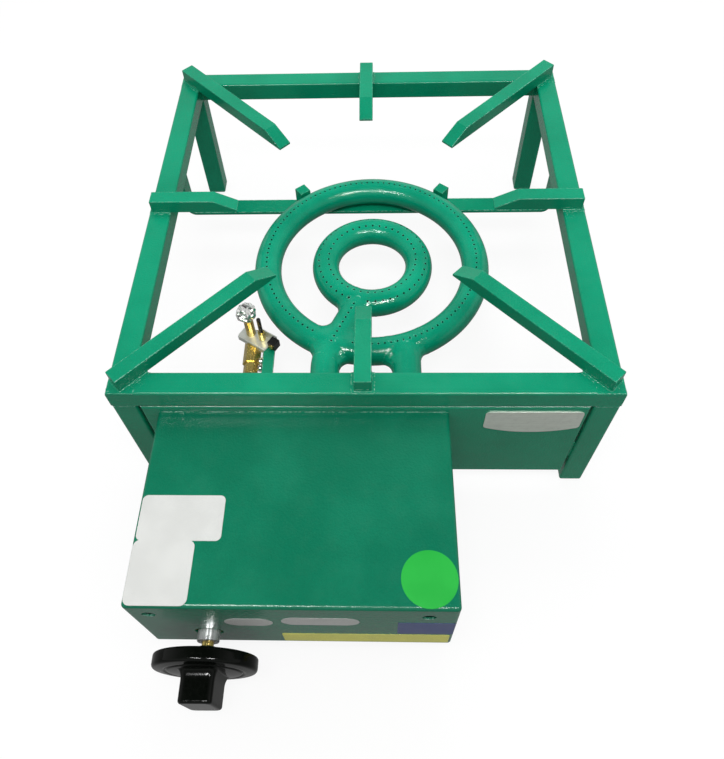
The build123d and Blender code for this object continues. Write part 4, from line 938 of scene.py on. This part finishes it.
def makeKnobPiece():
    f = knobFacts
    outline = knobProfile()
    bpy.ops.mesh.primitive_circle_add(vertices=len(outline), radius=1, fill_type="NOTHING")
    disc = startPiece("knobDisc")
    for vertex, (r, y) in zip(disc.data.vertices, outline):
        vertex.co = ((f["middle"][0] + r) * mm, y * mm, f["middle"][1] * mm)
    bpy.ops.object.mode_set(mode="EDIT")
    bpy.ops.mesh.select_mode(type="EDGE")
    bpy.ops.mesh.select_all(action="DESELECT")
    bpy.ops.object.mode_set(mode="OBJECT")
    for edge in disc.data.edges:  # open the outline along the axis
        edge.select = all(abs(disc.data.vertices[v].co.x - f["middle"][0] * mm) < 1e-7 for v in edge.vertices)
    bpy.ops.object.mode_set(mode="EDIT")
    bpy.ops.mesh.delete(type="EDGE")
    bpy.ops.mesh.select_all(action="SELECT")
    bpy.ops.mesh.spin(
        steps=144, angle=math.tau, dupli=False, use_auto_merge=True,
        center=(f["middle"][0] * mm, 0, f["middle"][1] * mm), axis=(0, 1, 0),
    )
    bpy.ops.mesh.select_all(action="SELECT")
    bpy.ops.mesh.remove_doubles(threshold=0.000002)
    bpy.ops.mesh.normals_make_consistent(inside=False)
    bpy.ops.object.mode_set(mode="OBJECT")

    wide, tall = f["grip"]
    bpy.ops.mesh.primitive_plane_add(size=1, location=(0, 0, 0))
    grip = startPiece("knobGrip")
    grip.scale = (wide * mm, tall * mm, 1)
    applyPlace(grip)
    bpy.ops.object.mode_set(mode="EDIT")
    bpy.ops.mesh.select_all(action="SELECT")
    bpy.ops.mesh.bevel(offset=f["gripCorner"] * mm, segments=8, affect="VERTICES")
    # local Z is the way out of the disc here
    rise = [(-3.0, f["flare"][0][1])] + f["flare"]
    total = f["discFront"] - f["gripEnd"]
    edge = f["gripEdge"]
    for step in range(1, 7):
        a = math.radians(15 * step)
        rise.append((total - edge * (1 - math.sin(a)), -edge * (1 - math.cos(a))))
    size = (wide / 2, tall / 2)
    level, grown = rise[0]
    bpy.ops.transform.resize(value=[1 + grown / s for s in size] + [1])
    bpy.ops.transform.translate(value=(0, 0, level * mm))
    for nextLevel, nextGrown in rise[1:]:
        bpy.ops.mesh.extrude_region_move(TRANSFORM_OT_translate=dict(value=(0, 0, (nextLevel - level) * mm)))
        ratio = [(s + nextGrown) / (s + grown) for s in size]
        bpy.ops.transform.resize(value=(ratio[0], ratio[1], 1))
        level, grown = nextLevel, nextGrown
    # close the open end, then stand the grip on the disc
    bpy.ops.mesh.select_all(action="SELECT")
    bpy.ops.mesh.fill_holes(sides=0)
    bpy.ops.mesh.normals_make_consistent(inside=False)
    bpy.ops.object.mode_set(mode="OBJECT")
    upright = Matrix.Rotation(math.radians(90), 4, "X")
    leaning = Matrix.Rotation(math.radians(-f["lean"]), 4, "Y")
    place = Matrix.Translation((f["middle"][0] * mm, f["discFront"] * mm, f["middle"][1] * mm))
    grip.matrix_world = place @ leaning @ upright
    applyPlace(grip)

    bpy.ops.object.select_all(action="DESELECT")
    grip.select_set(True)
    disc.select_set(True)
    bpy.context.view_layer.objects.active = disc
    bpy.ops.object.join()
    knob = startPiece("mouldedKnob")
    addModifier(knob, "REMESH", mode="VOXEL", voxel_size=f["voxel"] * mm)
    addModifier(knob, "SMOOTH", factor=0.5, iterations=f["rounds"])
    finishPiece(knob, "glossBlack", "turning_knob", 80)
    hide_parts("knob")


makeKnobPiece()
say("the knob is moulded")

# pilot: a pressed cap with dents on the tube, and the folded front edge of its plate
capFacts = dict(
    middle=(-114.6, 31.3), neck=5.6, neckSpan=(76.75, 83.0), ball=9.6, ballSpan=(79.0, 92.4), voxel=0.35, rounds=5,
    dents=[(8.5, 5.0, "HARD_NOISE"), (4.0, 1.4, "SOFT_NOISE")],
)
flangeFacts = dict(plate=(-109.6, 25.6), turn=-32, size=(33.0, 1.3, 6.5), front=7.9, top=51.7, bevel=0.5)


def makeCap():
    x, y = capFacts["middle"]
    low, high = capFacts["neckSpan"]
    bpy.ops.mesh.primitive_cylinder_add(
        vertices=48, radius=capFacts["neck"] * mm, depth=(high - low) * mm,
        location=(x * mm, y * mm, (low + high) / 2 * mm),
    )
    neck = startPiece("capNeck")
    low, high = capFacts["ballSpan"]
    bpy.ops.mesh.primitive_uv_sphere_add(
        segments=64, ring_count=32, radius=capFacts["ball"] * mm, location=(x * mm, y * mm, (low + high) / 2 * mm),
        scale=(1, 1, (high - low) / 2 / capFacts["ball"]),
    )
    cap = startPiece("pilotCap")
    neck.select_set(True)
    bpy.ops.object.join()
    applyPlace(cap)
    addModifier(cap, "REMESH", mode="VOXEL", voxel_size=capFacts["voxel"] * mm)
    for number, (size, depth, kind) in enumerate(capFacts["dents"]):
        dents = bpy.data.textures.new("capDents%d" % number, "CLOUDS")
        dents.noise_scale, dents.noise_type = size * mm, kind
        addModifier(cap, "DISPLACE", texture=dents, strength=-depth * mm, mid_level=0.35, texture_coords="GLOBAL")
    addModifier(cap, "SMOOTH", factor=0.5, iterations=capFacts["rounds"])
    finishPiece(cap, "brightChrome", "stand", 50)
    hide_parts("pilot_hood")


def makeFlange():
    x, y = flangeFacts["plate"]
    turn = math.radians(flangeFacts["turn"])
    wide, thick, tall = flangeFacts["size"]
    out = Vector((math.sin(turn), -math.cos(turn)))
    place = Vector((x, y)) + out * (flangeFacts["front"] - thick / 2)
    bpy.ops.mesh.primitive_cube_add(
        size=1, location=(place.x * mm, place.y * mm, (flangeFacts["top"] - tall / 2) * mm), rotation=(0, 0, turn),
    )
    flange = startPiece("plateFlange")
    flange.scale = (wide * mm, thick * mm, tall * mm)
    applyPlace(flange)
    addModifier(flange, "BEVEL", width=flangeFacts["bevel"] * mm, segments=3)
    finishPiece(flange, "paleZinc", "stand", 40)


# caps over the heads of the two arm screws
boltFacts = dict(
    arm=-100.6, height=44, places=dict(boltCapRear=3.0, boltCapFront=-5.0), radius=3.65, long=4.4,
    socket=1.3, deep=1.6, bevel=0.45,
)


def makeBolts():
    first = None
    for name, y in boltFacts["places"].items():
        if first is None:
            bpy.ops.mesh.primitive_cylinder_add(
                vertices=32, radius=boltFacts["radius"] * mm, depth=boltFacts["long"] * mm, location=(0, 0, 0),
            )
            first = startPiece(name)
            bpy.ops.object.mode_set(mode="EDIT")
            bpy.ops.mesh.select_mode(type="FACE")
            bpy.ops.mesh.select_all(action="DESELECT")
            bpy.ops.object.mode_set(mode="OBJECT")
            for face in first.data.polygons:
                face.select = face.normal.z > 0.9
            bpy.ops.object.mode_set(mode="EDIT")
            bpy.ops.mesh.inset(thickness=boltFacts["socket"] * mm)
            bpy.ops.mesh.extrude_region_move(TRANSFORM_OT_translate=dict(value=(0, 0, -boltFacts["deep"] * mm)))
            bpy.ops.object.mode_set(mode="OBJECT")
            addModifier(first, "BEVEL", width=boltFacts["bevel"] * mm, segments=3)
            shape = first.data.copy()
            bolt = first
        else:
            bolt = bpy.data.objects.new(name, shape)
            scene.collection.objects.link(bolt)
        bolt.rotation_euler = (0, math.radians(-90), 0)
        bolt.location = ((boltFacts["arm"] - boltFacts["long"] / 2) * mm, y * mm, boltFacts["height"] * mm)
        finishPiece(bolt, "brightChrome", "stand", 35)


makeCap()
makeFlange()
makeBolts()
say("the pilot is dressed")

# return spring, which closes up as the knob is pushed in; here it is copied as it stands and fixed to the stand
springFacts = dict(node="return_spring", joint="knob_push", travel=3.0)


def makeSpringPiece():
    spring = bpy.data.objects.new("closingSpring", cadNodes[springFacts["node"]].data.copy())
    scene.collection.objects.link(spring)
    finishPiece(spring, "zincSteel", "stand", 50)
    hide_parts(springFacts["node"])
    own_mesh(spring)


makeSpringPiece()
say("the return spring can close up")
